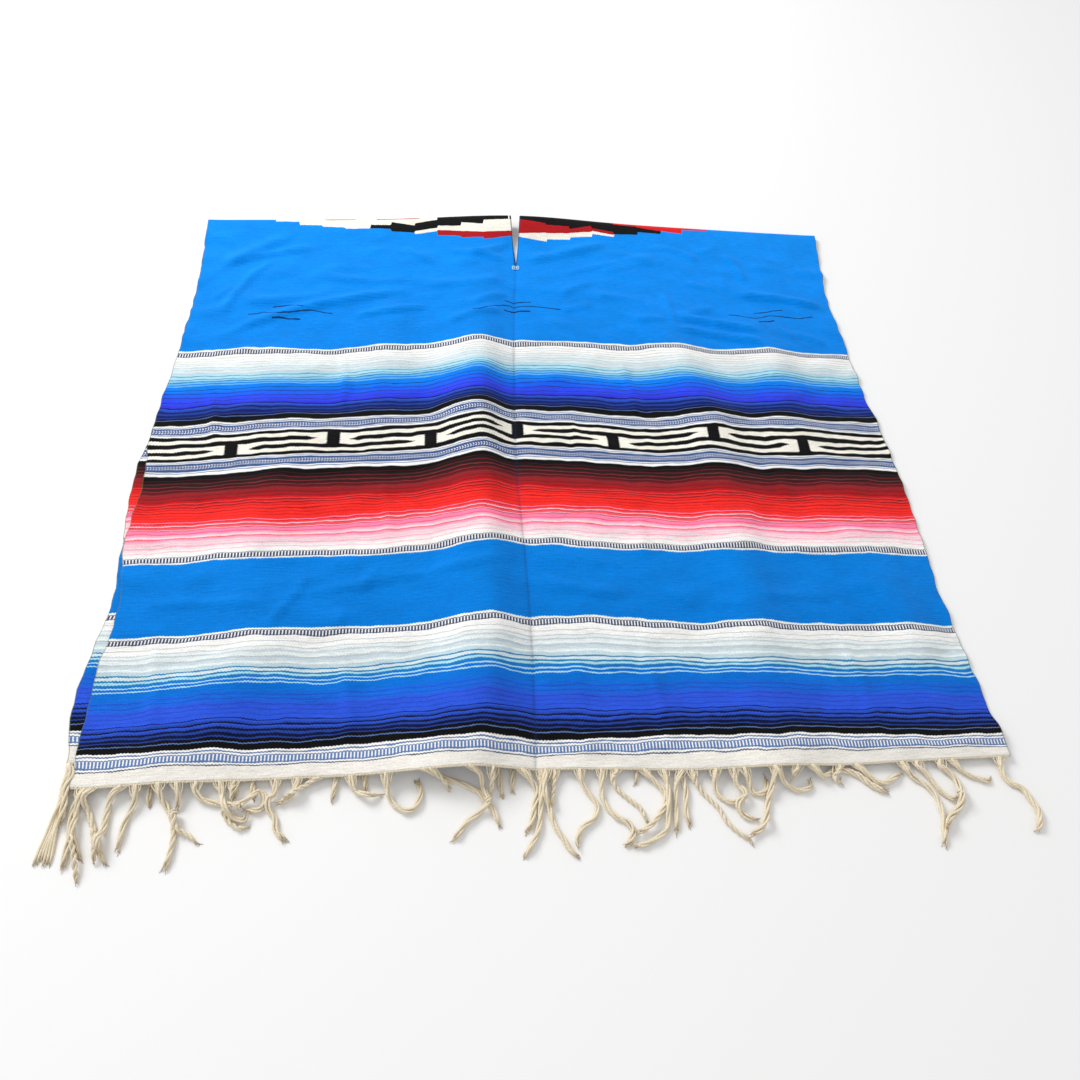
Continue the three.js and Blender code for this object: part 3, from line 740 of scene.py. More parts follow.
MOTIF_RIGHT = table(
    MOTIF_HEADER,
    (-12, 50, -20, -20, 8.5, 17.5, 45, 41.3, 51, 63),
    (50, 97, -20, -20, 21.3, 21, 41.9, 38.8, 56.9, 55),
    (97, 142, -20, -20, 28, 14, 38, 30, 48.8, 42.5),
    (142, 186, -20, -20, 21, 25.6, 28, 33.8, 35.6, 39.4),
    (186, 235, 4, 5, 31.9, 28.8, 31.9, 28.8, 31.9, 28.8),
    (235, 283, 7, 13.8, 21.3, 22, 21.3, 22, 21.3, 22),
    (283, 327, 13, 18, 13, 18, 13, 18, 13, 18),
    (327, 380, 7, 3.8, 7, 3.8, 7, 3.8, 7, 3.8),
    (380, 400, -20, -20, -20, -20, -20, -20, -20, -20),
)
MOTIF_RIGHT_PAINTS = ("red", "black", "crimson", "bone")
MOTIF_SPAN = (-30, 90)  # the distances along that a ramp's 0 and 1 stand for

# The little bird marks: a long line with a short one above and below, as points across, along.
BIRDS = (
    (
        ((-499, 247), (-485, 246), (-470, 242), (-454, 249), (-442, 250), (-429, 248),
         (-414, 245), (-399, 241), (-387, 239), (-375, 241), (-363, 245), (-350, 247)),
        ((-457, 229), (-442, 228), (-426, 227), (-416, 231), (-402, 235)),
        ((-454, 260), (-442, 258), (-426, 260), (-405, 261)),
    ),
    (
        ((-100, 262), (-86, 264), (-73, 258), (-60, 250), (-44, 244), (-32, 243), (-24, 247),
         (-13, 243), (9, 243), (21, 244), (37, 246), (63, 250)),
        ((-40, 231), (-34, 232), (-25, 236), (-17, 233), (8, 232)),
        ((-43, 256), (-27, 259), (-13, 256), (6, 256)),
    ),
    (
        ((382, 243), (401, 245), (419, 251), (432, 252), (443, 249), (456, 243), (463, 240),
         (481, 239), (498, 240), (524, 242), (541, 238), (556, 234)),
        ((434, 237), (446, 234), (462, 230), (474, 225), (494, 223)),
        ((434, 265), (446, 261), (460, 257), (470, 253)),
    ),
)
BIRD_SPAN = (200, 300)  # the distances along that a ramp's 0 and 1 stand for
BIRD_HALF_WIDTHS = (1.1, 1.1, 1.7)  # of the long, the upper and the lower line

BIRD_MIX = 0.88

RED_LINES = ((-352.0, 30.0), (-240.0, 42.0))  # on top of the fold: middle across, half length
RED_LINE_REACH = 2.2
LOOSE_END = (-23, 4)  # a cream end that crosses the black beside the slit, across and along
LOOSE_END_HALF_SIZE = (1.2, 6.0)

LIP_SHADOW_WIDTH = 2.6  # of the painted shadow on the slit's lips
LIP_SHADOW_SPAN = (64.0, 66.0)  # their middle and half length, along
LIP_SHADOW_MIX = 0.62
CREASE_SHADE_WIDTH = 2.4  # of the painted shade along the storage crease line
CREASE_SHADE_MIX = 0.24
CREASE_SHADE_EXTRA = 0.16  # more painted shade, below the first stripes
CREASE_SHADE_EXTRA_START = 330.0
# painted shade: a dark olive strip along both side edges
EDGE_SHADE_WIDTH = 1.4
EDGE_SHADE_MIX = 0.55

WARP_PITCH = 2.2
PICK_PITCH = 1.1

# Unevenness, each with the lengths over which it varies, across and along, its detail and
# roughness as noise, and its strength.
SLOW_WAVER = ((120, 60), 0.0, 0.5, 3.4)  # of the pattern's lines, in millimetres
MIDDLING_WAVER = ((38, 30), 0.0, 0.5, 2.2)
QUICK_WAVER = ((10, 4), 0.0, 0.5, 0.6)
BAR_WAVER = ((34, 60), 1.0, 0.5, 2.2)  # of the fret's bars
STREAKS_AND_RIDGE_SHADE = ((14, 1.5), 2.0, 0.6, 0.2)  # of light and dark yarn, partly painted shade of the weft's small ridges
GRAIN = ((2.6, 2), 1.0, 0.5, 0.14)
CLOUDS = ((60, 34), 2.0, 0.5, 0.12)
CORDING = ((34, 3.4), 2.0, 0.65, 0.46)  # of the relief, in millimetres
RIB_HEIGHT = 0.05
PICK_HEIGHT = 0.04


def new_material(name, values):
    """A material whose Principled shader has the values given. Gives the shader too."""
    material = bpy.data.materials.new(name)
    material.use_nodes = True
    shader = material.node_tree.nodes["Principled BSDF"]
    for socket, value in values.items():
        shader.inputs[socket].default_value = value
    return material, shader


class Sums:
    """Adds nodes to a shader tree. Numbers, colours and sockets may be given alike."""

    def __init__(self, tree):
        self.tree = tree

    def feed(self, socket, value):
        """Sets or links one input."""
        if isinstance(value, bpy.types.NodeSocket):
            self.tree.links.new(value, socket)
        else:
            socket.default_value = value

    def math(self, operation, *values):
        """One Math node."""
        node = self.tree.nodes.new("ShaderNodeMath")
        node.operation = operation
        for socket, value in zip(node.inputs, values):
            self.feed(socket, value)
        return node.outputs[0]

    def add(self, first, *rest):
        """The sum of two or more values."""
        for value in rest:
            first = self.math("ADD", first, value)
        return first

    def times(self, first, *rest):
        """The product of two or more values."""
        for value in rest:
            first = self.math("MULTIPLY", first, value)
        return first

    def near(self, value, middle, reach):
        """1 where value is within reach of the middle."""
        return self.math("COMPARE", value, middle, reach)

    def any_of(self, first, *rest):
        """The largest of some masks."""
        for value in rest:
            first = self.math("MAXIMUM", first, value)
        return first

    def nearest(self, value, places):
        """The distance from value to the nearest of some places."""
        gaps = [self.math("ABSOLUTE", self.math("SUBTRACT", value, place)) for place in places]
        first, *rest = gaps
        for gap in rest:
            first = self.math("MINIMUM", first, gap)
        return first

    def mix(self, mask, under, over):
        """The colour over where the mask is 1, and the colour under elsewhere."""
        node = self.tree.nodes.new("ShaderNodeMix")
        node.data_type = "RGBA"
        self.feed(node.inputs["Factor"], mask)
        colours = [socket for socket in node.inputs if socket.type == "RGBA"]
        self.feed(colours[0], under)
        self.feed(colours[1], over)
        return next(socket for socket in node.outputs if socket.type == "RGBA")

    def ramp(self, value, low, high, stops):
        """A colour ramp over value from low to high: each stop has its place and its colour."""
        share = self.tree.nodes.new("ShaderNodeMapRange")
        self.feed(share.inputs["Value"], value)
        share.inputs["From Min"].default_value = low
        share.inputs["From Max"].default_value = high
        node = self.tree.nodes.new("ShaderNodeValToRGB")
        elements = node.color_ramp.elements
        while len(elements) > 1:
            elements.remove(elements[-1])
        for index, (place, colour) in enumerate(stops):
            spot = (place - low) / (high - low)
            element = elements[0] if index == 0 else elements.new(spot)
            element.position = spot
            element.color = colour
        self.tree.links.new(share.outputs["Result"], node.inputs["Fac"])
        return node.outputs

    def kept(self, name):
        """A value that was kept for each point."""
        node = self.tree.nodes.new("ShaderNodeAttribute")
        node.attribute_name = name
        return node.outputs["Fac"]

    def noise(self, across, along, detail=0.0, rough=0.5):
        """Noise around 0, between about -1 and 1, over two coordinates."""
        place = self.tree.nodes.new("ShaderNodeCombineXYZ")
        self.feed(place.inputs["X"], across)
        self.feed(place.inputs["Y"], along)
        node = self.tree.nodes.new("ShaderNodeTexNoise")
        node.noise_dimensions = "2D"
        node.inputs["Scale"].default_value = 1
        node.inputs["Detail"].default_value = detail
        node.inputs["Roughness"].default_value = rough
        self.tree.links.new(place.outputs[0], node.inputs["Vector"])
        return self.math("MULTIPLY_ADD", node.outputs[0], 2.0, -1.0)

    def uneven(self, across, along, kind):
        """One kind of unevenness, from -strength to strength."""
        (length_across, length_along), detail, rough, strength = kind
        scaled = (self.times(across, 1 / length_across), self.times(along, 1 / length_along))
        return self.times(self.noise(*scaled, detail, rough), strength)

    def relief(self, shader, height):
        """Bumps of a height in millimetres."""
        bump = self.tree.nodes.new("ShaderNodeBump")
        bump.inputs["Strength"].default_value = 1.0
        bump.inputs["Distance"].default_value = 1.0 * MM
        self.feed(bump.inputs["Height"], height)
        self.feed(shader.inputs["Normal"], bump.outputs["Normal"])

    def cloth_map(self):
        """The two coordinates of the mesh's own map, as it is stored."""
        uv = self.tree.nodes.new("ShaderNodeUVMap")
        uv.uv_map = "cloth"
        parts = self.tree.nodes.new("ShaderNodeSeparateXYZ")
        self.tree.links.new(uv.outputs[0], parts.inputs[0])
        return parts.outputs["X"], parts.outputs["Y"]


def cloth_coordinates(sums):
    """Across, along, and the pattern's own distance |along - mirror| + mirror, in millimetres."""
    across, along = (sums.times(part, 1 / MM) for part in sums.cloth_map())
    from_mirror = sums.math("ABSOLUTE", sums.math("SUBTRACT", along, PATTERN_MIRROR))
    return across, along, sums.add(from_mirror, PATTERN_MIRROR)


def stripe_colour(sums, place):
    """The stripe that each place lies in, from as many ramps as the table needs."""
    groups = [[STRIPES[0]]]
    for row in STRIPES[1:]:
        full = len(groups[-1]) == STRIPES_A_RAMP or row[0] - groups[-1][0][0] > RAMP_LENGTH
        if full:
            groups.append([row])
        else:
            groups[-1].append(row)
    ends = [group[0][0] for group in groups[1:]] + [STRIPES[-1][0]]
    colour = PAINTS["field"]
    for group, end in zip(groups, ends):
        start = group[0][0]
        stops = []
        for row, after in zip(group, [row[0] for row in group[1:]] + [end]):
            stops += [(row[0], PAINTS[row[1]]), (after - STRIPE_CHANGE, PAINTS[row[-1]])]
        section = sums.ramp(place, start, end, stops)["Color"]
        colour = sums.mix(sums.math("GREATER_THAN", place, float(start)), colour, section)
    return colour


def fret_mask(sums, across, place):
    """The cream parts of the stepped fret: three bars, broken by the black blocks, and the caps
    that join them beside each block."""
    serration = sums.math("PINGPONG", sums.times(place, 1 / FRET_STEP), 1.0)
    inset = sums.math("SUBTRACT", across, FRET_TOOTH / 2)
    side = sums.math("MULTIPLY_ADD", serration, FRET_TOOTH, inset)
    high = sums.nearest(side, FRET_HIGH_BLOCKS)
    low = sums.nearest(side, FRET_LOW_BLOCKS)
    off_high = sums.math("GREATER_THAN", high, FRET_BLOCK)
    off_low = sums.math("GREATER_THAN", low, FRET_BLOCK)
    cap_middle, cap_reach = (FRET_BLOCK + FRET_CAP) / 2, (FRET_CAP - FRET_BLOCK) / 2
    tooth = sums.math("PINGPONG", sums.times(across, 1 / WARP_PITCH), 1.0)
    swing = sums.uneven(across, place, BAR_WAVER)
    bar_place = sums.add(place, swing, sums.times(tooth, BAR_TOOTH))

    def between(start, end):
        return sums.near(bar_place, (start + end) / 2, (end - start) / 2)

    bars = {name: between(*bar) for name, bar in FRET_BARS.items()}

    def cap(distance, first, last):
        """The cap from one bar to the next, split by the black gap's tapered point."""
        gap_middle = (FRET_BARS[first][1] + FRET_BARS[last][0]) / 2
        gap_reach = (FRET_BARS[last][0] - FRET_BARS[first][1]) / 2
        from_point = sums.math("SUBTRACT", distance, FRET_POINT)
        taper = sums.math("DIVIDE", from_point, FRET_CAP - FRET_POINT)
        taper = sums.math("MULTIPLY", sums.math("MAXIMUM", taper, 0.0), gap_reach)
        from_gap = sums.math("ABSOLUTE", sums.math("SUBTRACT", bar_place, gap_middle))
        whole = between(FRET_BARS[first][0], FRET_BARS[last][1])
        beside = sums.near(distance, cap_middle, cap_reach)
        return sums.times(whole, beside, sums.math("GREATER_THAN", from_gap, taper))

    return sums.any_of(
        sums.times(bars["top"], off_high),
        sums.times(bars["mid"], off_high, off_low),
        sums.times(bars["low"], off_low),
        cap(high, "top", "mid"),
        cap(low, "mid", "low"),
    )


def motif_colour(sums, across, place, colour, motif, paints):
    """One side of the neck motif. A ramp over the width holds the four layers' outer edges in
    its red, green, blue and alpha, and each layer is laid over the wider ones."""
    low, high = MOTIF_SPAN
    stops = []
    for row in zip(*motif.values()):
        for end in (0, 1):
            edges = tuple((row[2 + 2 * layer + end] - low) / (high - low) for layer in range(4))
            inset = STRIPE_CHANGE if end == 0 else -STRIPE_CHANGE
            stops.append((row[end] + inset, edges))
    ends = float(motif["from"][0]), float(motif["to"][-1])
    ramp = sums.ramp(across, *ends, stops)
    parts = sums.tree.nodes.new("ShaderNodeSeparateXYZ")
    sums.tree.links.new(ramp["Color"], parts.inputs[0])
    edges = [*parts.outputs, ramp["Alpha"]]
    inside = sums.near(across, sum(ends) / 2, (ends[1] - ends[0]) / 2)
    for edge, name in reversed(list(zip(edges, paints))):
        outer = sums.math("MULTIPLY_ADD", edge, float(high - low), float(low))
        mask = sums.times(sums.math("LESS_THAN", place, outer), inside)
        colour = sums.mix(mask, colour, PAINTS[name])
    return colour


def bird_mask(sums, across, place, bird):
    """One bird mark. A ramp over its width holds its three lines in its red, green and blue, and
    each line's own length is a mask across."""
    low, high = BIRD_SPAN
    spots = sorted({point[0] for line in bird for point in line})
    stops = []
    for spot in spots:
        heights = [np.interp(spot, *zip(*line)) for line in bird]
        stops.append((spot, (*[(height - low) / (high - low) for height in heights], 1.0)))
    ramp = sums.ramp(across, spots[0], spots[-1], stops)
    parts = sums.tree.nodes.new("ShaderNodeSeparateXYZ")
    sums.tree.links.new(ramp["Color"], parts.inputs[0])
    share = sums.math("DIVIDE", sums.math("SUBTRACT", place, float(low)), float(high - low))
    lines = []
    for socket, line, half_width in zip(parts.outputs, bird, BIRD_HALF_WIDTHS):
        first, last = line[0][0], line[-1][0]
        beside = sums.near(across, (first + last) / 2, (last - first) / 2)
        lines.append(sums.times(sums.near(share, socket, half_width / (high - low)), beside))
    return sums.any_of(*lines)


def banded_colour(sums, across, place):
    """The stripes, with the ladders' rungs, the borders' slanted dashes and the fret."""
    colour = stripe_colour(sums, place)
    tick_phase = sums.math("FRACT", sums.times(across, 1 / LADDER_PITCH))
    tick = sums.math("LESS_THAN", tick_phase, LADDER_RUNG)
    for middle, reach, name in LADDERS:
        mask = sums.times(sums.near(place, float(middle), float(reach)), tick)
        colour = sums.mix(mask, colour, PAINTS[name])

    from_border = sums.nearest(place, BORDERS)
    slant = sums.math("MULTIPLY_ADD", from_border, BORDER_SLANT, across)
    dash_phase = sums.math("FRACT", sums.times(slant, 1 / BORDER_PITCH))
    in_row = sums.near(from_border, BORDER_HALF_WIDTH / 2, BORDER_HALF_WIDTH / 2 - BORDER_GAP)
    dash = sums.times(sums.math("LESS_THAN", dash_phase, BORDER_DASH), in_row)
    colour = sums.mix(dash, colour, PAINTS["white"])
    return sums.mix(fret_mask(sums, across, place), colour, PAINTS["bone"])


def neck_colour(sums, across, near_neck, pattern, colour):
    """The neck motif, the red lines on top of the fold and the loose end beside the slit."""
    for motif, paints in ((MOTIF_LEFT, MOTIF_LEFT_PAINTS), (MOTIF_RIGHT, MOTIF_RIGHT_PAINTS)):
        colour = motif_colour(sums, across, near_neck, colour, motif, paints)
    for middle, reach in RED_LINES:
        on_fold = sums.near(near_neck, 0.0, RED_LINE_REACH)
        on_line = sums.times(sums.near(across, middle, reach), on_fold)
        colour = sums.mix(on_line, colour, PAINTS["crimson"])
    ends = zip((across, pattern), LOOSE_END, LOOSE_END_HALF_SIZE)
    loose_end = sums.times(*(sums.near(*end) for end in ends))
    return sums.mix(loose_end, colour, PAINTS["bone"])


def shaded_colour(sums, across, along, colour):
    """Painted shadow in the slit's lips, painted shade along the storage crease line and
    along the two side edges.
    """
    from_crease = sums.math("ABSOLUTE", sums.kept("from_crease"))
    narrowing = -SLIT_WIDTH / 2 / SLIT_FRONT_LENGTH
    # painted shadow: a dark teal strip along both lips of the slit, near the fold
    lip = sums.math("MULTIPLY_ADD", along, narrowing, SLIT_WIDTH / 2 + LIP_SHADOW_WIDTH)
    lip_shadow = sums.times(sums.math("LESS_THAN", from_crease, lip), sums.near(along, *LIP_SHADOW_SPAN))
    colour = sums.mix(sums.times(lip_shadow, LIP_SHADOW_MIX), colour, PAINTS["lip"])
    # painted shade: darker along the storage crease line, more so below the first stripes
    pressed = sums.math("EXPONENT", sums.times(from_crease, -1 / CREASE_SHADE_WIDTH))
    lower = sums.math("GREATER_THAN", along, CREASE_SHADE_EXTRA_START)
    crease_shade = sums.math("MULTIPLY_ADD", lower, CREASE_SHADE_EXTRA, CREASE_SHADE_MIX)
    colour = sums.mix(sums.times(pressed, crease_shade), colour, PAINTS["pressed"])
    # painted shade along both side edges
    from_middle = sums.math("ABSOLUTE", across)
    selvedge = sums.math("GREATER_THAN", from_middle, CLOTH_WIDTH / 2 - EDGE_SHADE_WIDTH)
    return sums.mix(sums.times(selvedge, EDGE_SHADE_MIX), colour, PAINTS["selvedge"])


def cloth_material():
    """Weft-faced wool and cotton: stripes, ladders, borders, the fret, the neck motif and the
    bird marks, each edge stepped by the weave, with ribs, picks and streaks of yarn. The streaks
    and the upper field's darkening are partly painted shade; the slit's lips carry painted
    shadow, and the storage crease and the side edges painted shade."""
    looks = {
        "Roughness": 0.95,
        "Specular IOR Level": 0.08,
        "Sheen Weight": 0.05,
        "Sheen Roughness": 0.5,
    }
    material, shader = new_material("serape_cloth", looks)
    tree = material.node_tree
    sums = Sums(tree)
    across, along, pattern = cloth_coordinates(sums)

    column = sums.math("FLOOR", sums.times(across, 1 / WARP_PITCH))
    odd = sums.math("FLOORED_MODULO", column, 2.0)
    slow = sums.uneven(across, along, SLOW_WAVER)
    middling = sums.uneven(across, along, MIDDLING_WAVER)
    tooth = sums.times(odd, PICK_PITCH / 2)
    fine = sums.add(sums.uneven(across, along, QUICK_WAVER), tooth)
    near_neck = sums.add(pattern, fine)

    colour = banded_colour(sums, across, sums.add(pattern, slow, middling, fine))
    colour = neck_colour(sums, across, near_neck, pattern, colour)
    colour = shaded_colour(sums, across, along, colour)
    marks = sums.any_of(*(bird_mask(sums, across, near_neck, bird) for bird in BIRDS))
    colour = sums.mix(sums.times(marks, BIRD_MIX), colour, PAINTS["ink"])

    # partly painted shade: the streaks also stand in for the shade of the weft's small ridges
    shades = (sums.uneven(across, along, kind) for kind in (STREAKS_AND_RIDGE_SHADE, GRAIN, CLOUDS))
    shade = tree.nodes.new("ShaderNodeHueSaturation")
    sums.feed(shade.inputs["Value"], sums.add(1.0, *shades))
    sums.feed(shade.inputs["Color"], colour)
    sums.feed(shader.inputs["Base Color"], shade.outputs["Color"])

    turn = 2 * math.pi
    rib = sums.math("SINE", sums.times(across, turn / WARP_PITCH))
    pick_place = sums.math("MULTIPLY_ADD", odd, math.pi, sums.times(along, turn / PICK_PITCH))
    pick = sums.math("SINE", pick_place)
    weave = (sums.times(rib, RIB_HEIGHT), sums.times(pick, PICK_HEIGHT))
    sums.relief(shader, sums.add(*weave, sums.uneven(across, along, CORDING)))
    return material


# ---- the fringe ---------------------------------------------------------------------------------
# Tassels of the front hem. Each row: the number of plies, then the points the cord passes, as
# (across, down), down being the distance from the shoulder fold along the floor.
FRONT_CORDS = (
    (3, (-585, 1094), (-592, 1113), (-594, 1126), (-590, 1147), (-590, 1163), (-590, 1190)),
    (3, (-583, 1094), (-586, 1109), (-587, 1126), (-586, 1147), (-579, 1163), (-571, 1177)),
    (2, (-586, 1150), (-580, 1165), (-574, 1186), (-571, 1206)),
    (3, (-576, 1095), (-580, 1107), (-571, 1127), (-560, 1152), (-551, 1171), (-541, 1183)),
    (2, (-564, 1142), (-560, 1152), (-557, 1168), (-555, 1183)),
    (4, (-540, 1091), (-550, 1102), (-553, 1119), (-553, 1144), (-555, 1156), (-549, 1175)),
    (3, (-523, 1093), (-523, 1112), (-530, 1131), (-532, 1152), (-534, 1170)),
    (3, (-497, 1096), (-492, 1108), (-479, 1127), (-472, 1148), (-473, 1175), (-477, 1193)),
    (3, (-476, 1092), (-472, 1109), (-473, 1127)),
    (2, (-474, 1128), (-469, 1144), (-454, 1153), (-441, 1165)),
    (3, (-452, 1092), (-454, 1101), (-442, 1112), (-424, 1116), (-403, 1119), (-387, 1111),
     (-377, 1104), (-370, 1114), (-377, 1126), (-399, 1123)),
    (2, (-399, 1123), (-411, 1121), (-417, 1129), (-406, 1142), (-396, 1147), (-383, 1145)),
    (3, (-426, 1093), (-421, 1108), (-416, 1121), (-406, 1134), (-392, 1137), (-390, 1126)),
    (2, (-408, 1093), (-411, 1103), (-408, 1117)),
    (3, (-359, 1094), (-360, 1108), (-366, 1114), (-364, 1127), (-357, 1136), (-354, 1149),
     (-344, 1162), (-336, 1164)),
    (3, (-333, 1096), (-340, 1111), (-354, 1119), (-365, 1121)),
    (2, (-306, 1094), (-321, 1097), (-333, 1106), (-345, 1113), (-353, 1115)),
    (3, (-269, 1094), (-264, 1105), (-255, 1112), (-241, 1114), (-227, 1112)),
    (3, (-225, 1094), (-222, 1114), (-215, 1125), (-202, 1134), (-189, 1131), (-182, 1115),
     (-184, 1102), (-191, 1096)),
    (3, (-180, 1092), (-163, 1094), (-145, 1098), (-127, 1105), (-111, 1114), (-103, 1125),
     (-92, 1139), (-84, 1163)),
    (2, (-171, 1092), (-151, 1103), (-143, 1117)),
    (3, (-122, 1092), (-108, 1097), (-104, 1112), (-98, 1128), (-110, 1140), (-127, 1153),
     (-138, 1167), (-147, 1178)),
    (2, (-92, 1092), (-93, 1103), (-96, 1125)),
    (3, (-56, 1092), (-45, 1102), (-37, 1117), (-41, 1134), (-46, 1156), (-54, 1169)),
    (3, (-29, 1094), (-32, 1121), (-34, 1143), (-38, 1165), (-50, 1186), (-59, 1197)),
    (3, (-24, 1094), (-28, 1117), (-22, 1140), (-19, 1157), (-9, 1175), (0, 1190), (12, 1201)),
    (2, (-13, 1097), (-17, 1122), (-20, 1138)),
    (3, (19, 1097), (21, 1110), (33, 1128), (38, 1140), (33, 1153), (18, 1163), (10, 1175),
     (7, 1191)),
    (3, (47, 1102), (45, 1124), (50, 1140), (60, 1152), (75, 1161), (80, 1172), (72, 1185),
     (60, 1191)),
    (2, (66, 1099), (60, 1104), (64, 1116), (78, 1130), (93, 1144), (97, 1157), (102, 1162)),
    (3, (101, 1100), (115, 1111), (125, 1123), (126, 1137), (114, 1154), (98, 1168), (80, 1175)),
    (3, (127, 1095), (130, 1109), (129, 1132), (126, 1155), (124, 1168), (113, 1178), (93, 1187),
     (75, 1189)),
    (3, (153, 1098), (143, 1114), (139, 1135), (136, 1164), (133, 1179)),
    (2, (165, 1097), (168, 1115), (180, 1132), (192, 1146), (200, 1164), (213, 1178),
     (225, 1187), (230, 1196)),
    (3, (196, 1095), (192, 1116), (195, 1130), (207, 1140), (221, 1138), (230, 1129)),
    (3, (218, 1103), (220, 1117), (228, 1127), (229, 1134), (218, 1142), (220, 1154),
     (231, 1161), (246, 1164)),
    (3, (231, 1102), (237, 1116), (240, 1128), (248, 1132), (259, 1126), (263, 1107)),
    (3, (274, 1100), (267, 1122), (259, 1140), (252, 1160), (242, 1175), (221, 1185)),
    (3, (270, 1098), (277, 1110), (288, 1123), (305, 1129), (320, 1124), (320, 1111), (315, 1100)),
    (2, (304, 1099), (296, 1113), (291, 1121)),
    (4, (322, 1104), (337, 1113), (353, 1106), (367, 1105), (385, 1111), (401, 1125),
     (415, 1133), (427, 1134)),
    (2, (362, 1105), (353, 1115), (360, 1122), (365, 1113)),
    (4, (384, 1102), (399, 1112), (413, 1123), (424, 1123), (443, 1113), (450, 1108)),
    (3, (447, 1100), (457, 1114), (471, 1125), (483, 1139), (486, 1155), (485, 1174),
     (479, 1196), (475, 1209)),
    (3, (469, 1103), (482, 1117), (491, 1134), (505, 1148), (518, 1143)),
    (4, (501, 1105), (512, 1113), (519, 1124), (518, 1143), (511, 1159), (491, 1174), (479, 1191)),
    (3, (516, 1101), (529, 1111), (546, 1121), (565, 1126), (567, 1115)),
    (4, (583, 1099), (586, 1116), (592, 1130), (606, 1138), (612, 1152), (617, 1169),
     (611, 1187), (602, 1198)),
)
# Tassels of the back hem; most of them show only where they come out from under the front hem.
BACK_CORDS = (
    (6, (-606, 1058), (-607, 1067), (-608, 1084), (-608, 1108), (-610, 1133), (-613, 1158),
     (-615, 1182)),
    (3, (-600, 1058), (-602, 1073), (-604, 1092), (-602, 1112), (-603, 1140)),
    (3, (-508, 1058), (-510, 1090), (-506, 1120)),
    (3, (-408, 1058), (-406, 1088), (-409, 1118)),
    (3, (-385, 1058), (-388, 1088), (-384, 1118)),
    (3, (-290, 1058), (-287, 1090), (-291, 1124)),
    (3, (-250, 1058), (-252, 1086), (-249, 1116)),
    (3, (-82, 1058), (-84, 1090), (-80, 1124)),
    (3, (-68, 1058), (-66, 1088), (-69, 1118)),
    (3, (92, 1058), (94, 1086), (91, 1114)),
    (3, (148, 1058), (151, 1090), (154, 1122), (150, 1150), (154, 1170)),
    (3, (285, 1058), (283, 1088), (286, 1118)),
)
# Overhand knots in a cord: the place across and down, and the turn of the cord there, degrees.
KNOTS = ((-474, 1127, -80), (-399, 1122, 0), (-98, 1127, -70), (517, 1142, -80), (223, 1139, -60))

PLY_RADIUS = 1.75
PLY_SPACING = {2: 0.9, 3: 1.05, 4: 1.25, 6: 1.5}  # of the plies from the cord's middle, in radii
PLY_TWIST_LENGTH = 19
PAIR_TWISTS = (0.8, 1.1)  # of a two-ply cord, in twist lengths
CORD_TWISTS = (2.2, 4.5)  # of a thicker one
CORD_STEP = 2.8
LOOSEST = 0.45  # how much wider than its plies need a cord may lie
SWAY_LENGTHS = (16, 30)  # over which it opens and closes
STRAY_LENGTHS = (9, 20)  # over which a ply strays

HEM_GAP = 0.6  # from the hem to a cord's first point
FRONT_HEM_DROP = 0.4
HEM_DROP_LENGTH = 34  # over which a cord comes down from the hem to the floor
ROOT_REACH = 598  # the furthest across that a tassel starts
ROOTED_WITHIN = 14  # of the hem; a cord that starts further down comes from under others
ROOT_CLEAR = 5  # from the root to the next point of the route
ROOT_RISE_LENGTH = 9

TIP_LENGTH = 15  # over which the plies part towards the tip
TIP_SPREAD = 2.3
BRUSH_PLIES = 6  # of the untwisted tassel at the back corner
BRUSH_LENGTH = 95
BRUSH_SPREAD = 3.6
LONGEST_LACK = 9  # how much shorter than its cord a ply may be
WORN_LENGTH = 12
TIP_THINNING = 0.45

FRAY_ENDS = 2
FRAY_STEPS = 5
FRAY_LENGTHS = (3, 8)
FRAY_RADII = (0.62, 0.28)
FRAY_LEAN = 0.35
FRAY_SAG = 1.5
FRAY_LOWEST = 0.5

FAN_HALF_WIDTH = 8
FAN_THREADS = 6
FAN_STEPS = 6
FAN_LENGTH = 13
FAN_REACH = 599
FAN_UNEVEN = (0.75, 1.1)  # of the half width
FAN_MEETING = (0.8, 1.4)  # where a thread meets the cord, in fan lengths
FAN_MEETING_SPREAD = 1.2
FAN_BOW = 1.6
FAN_RADII = (0.8, 0.95)

KNOT_STEPS = 34
KNOT_TURNS = 2.3
KNOT_RADIUS = 3.6
KNOT_LENGTH = 8
KNOT_YARN_RADIUS = 1.5
KNOT_LIFT = 1.4
KNOT_SETTLE = 0.5  # of the pile's height that a knot keeps
KNOT_CLOSING = 1.1  # above 1, the coil closes before the knot's end
KNOT_FULLNESS = 0.3  # the lower, the sooner the coil is at its whole radius

HEADING_STEPS = 480
HEADING_TURN_LENGTH = 9
HEADING_SET_IN = 0.5
HEADING_RADIUS = 0.7  # of the helix that each ply follows
HEADING_PLY_RADIUS = 0.85

TACK_PLACE = 3.0  # below the foot of the slit
TACK_LOOP_ASIDE = 4.2
TACK_LOOP_SIZE = (2.0, 4.2)  # half its width and half its length
TACK_LOOP_CREEP = 0.05  # along, for each radian of the winding
TACK_LOOP_RISE = (1.6, 0.25)  # at its start, and for each half turn
TACK_LOOP_RADIUS = 0.75
TACK_BARS = (-1.5, 2.5, 7.0)
TACK_BAR_HALF_LENGTH = 6.5
TACK_BAR_RISE = (1.2, 1.1)  # at its ends, and the arch over that
TACK_BAR_RADIUS = 0.6
TACK_BAR_STEPS = 16

FRINGE_SEED = 5
LOWEST = 0.1  # no yarn lies lower


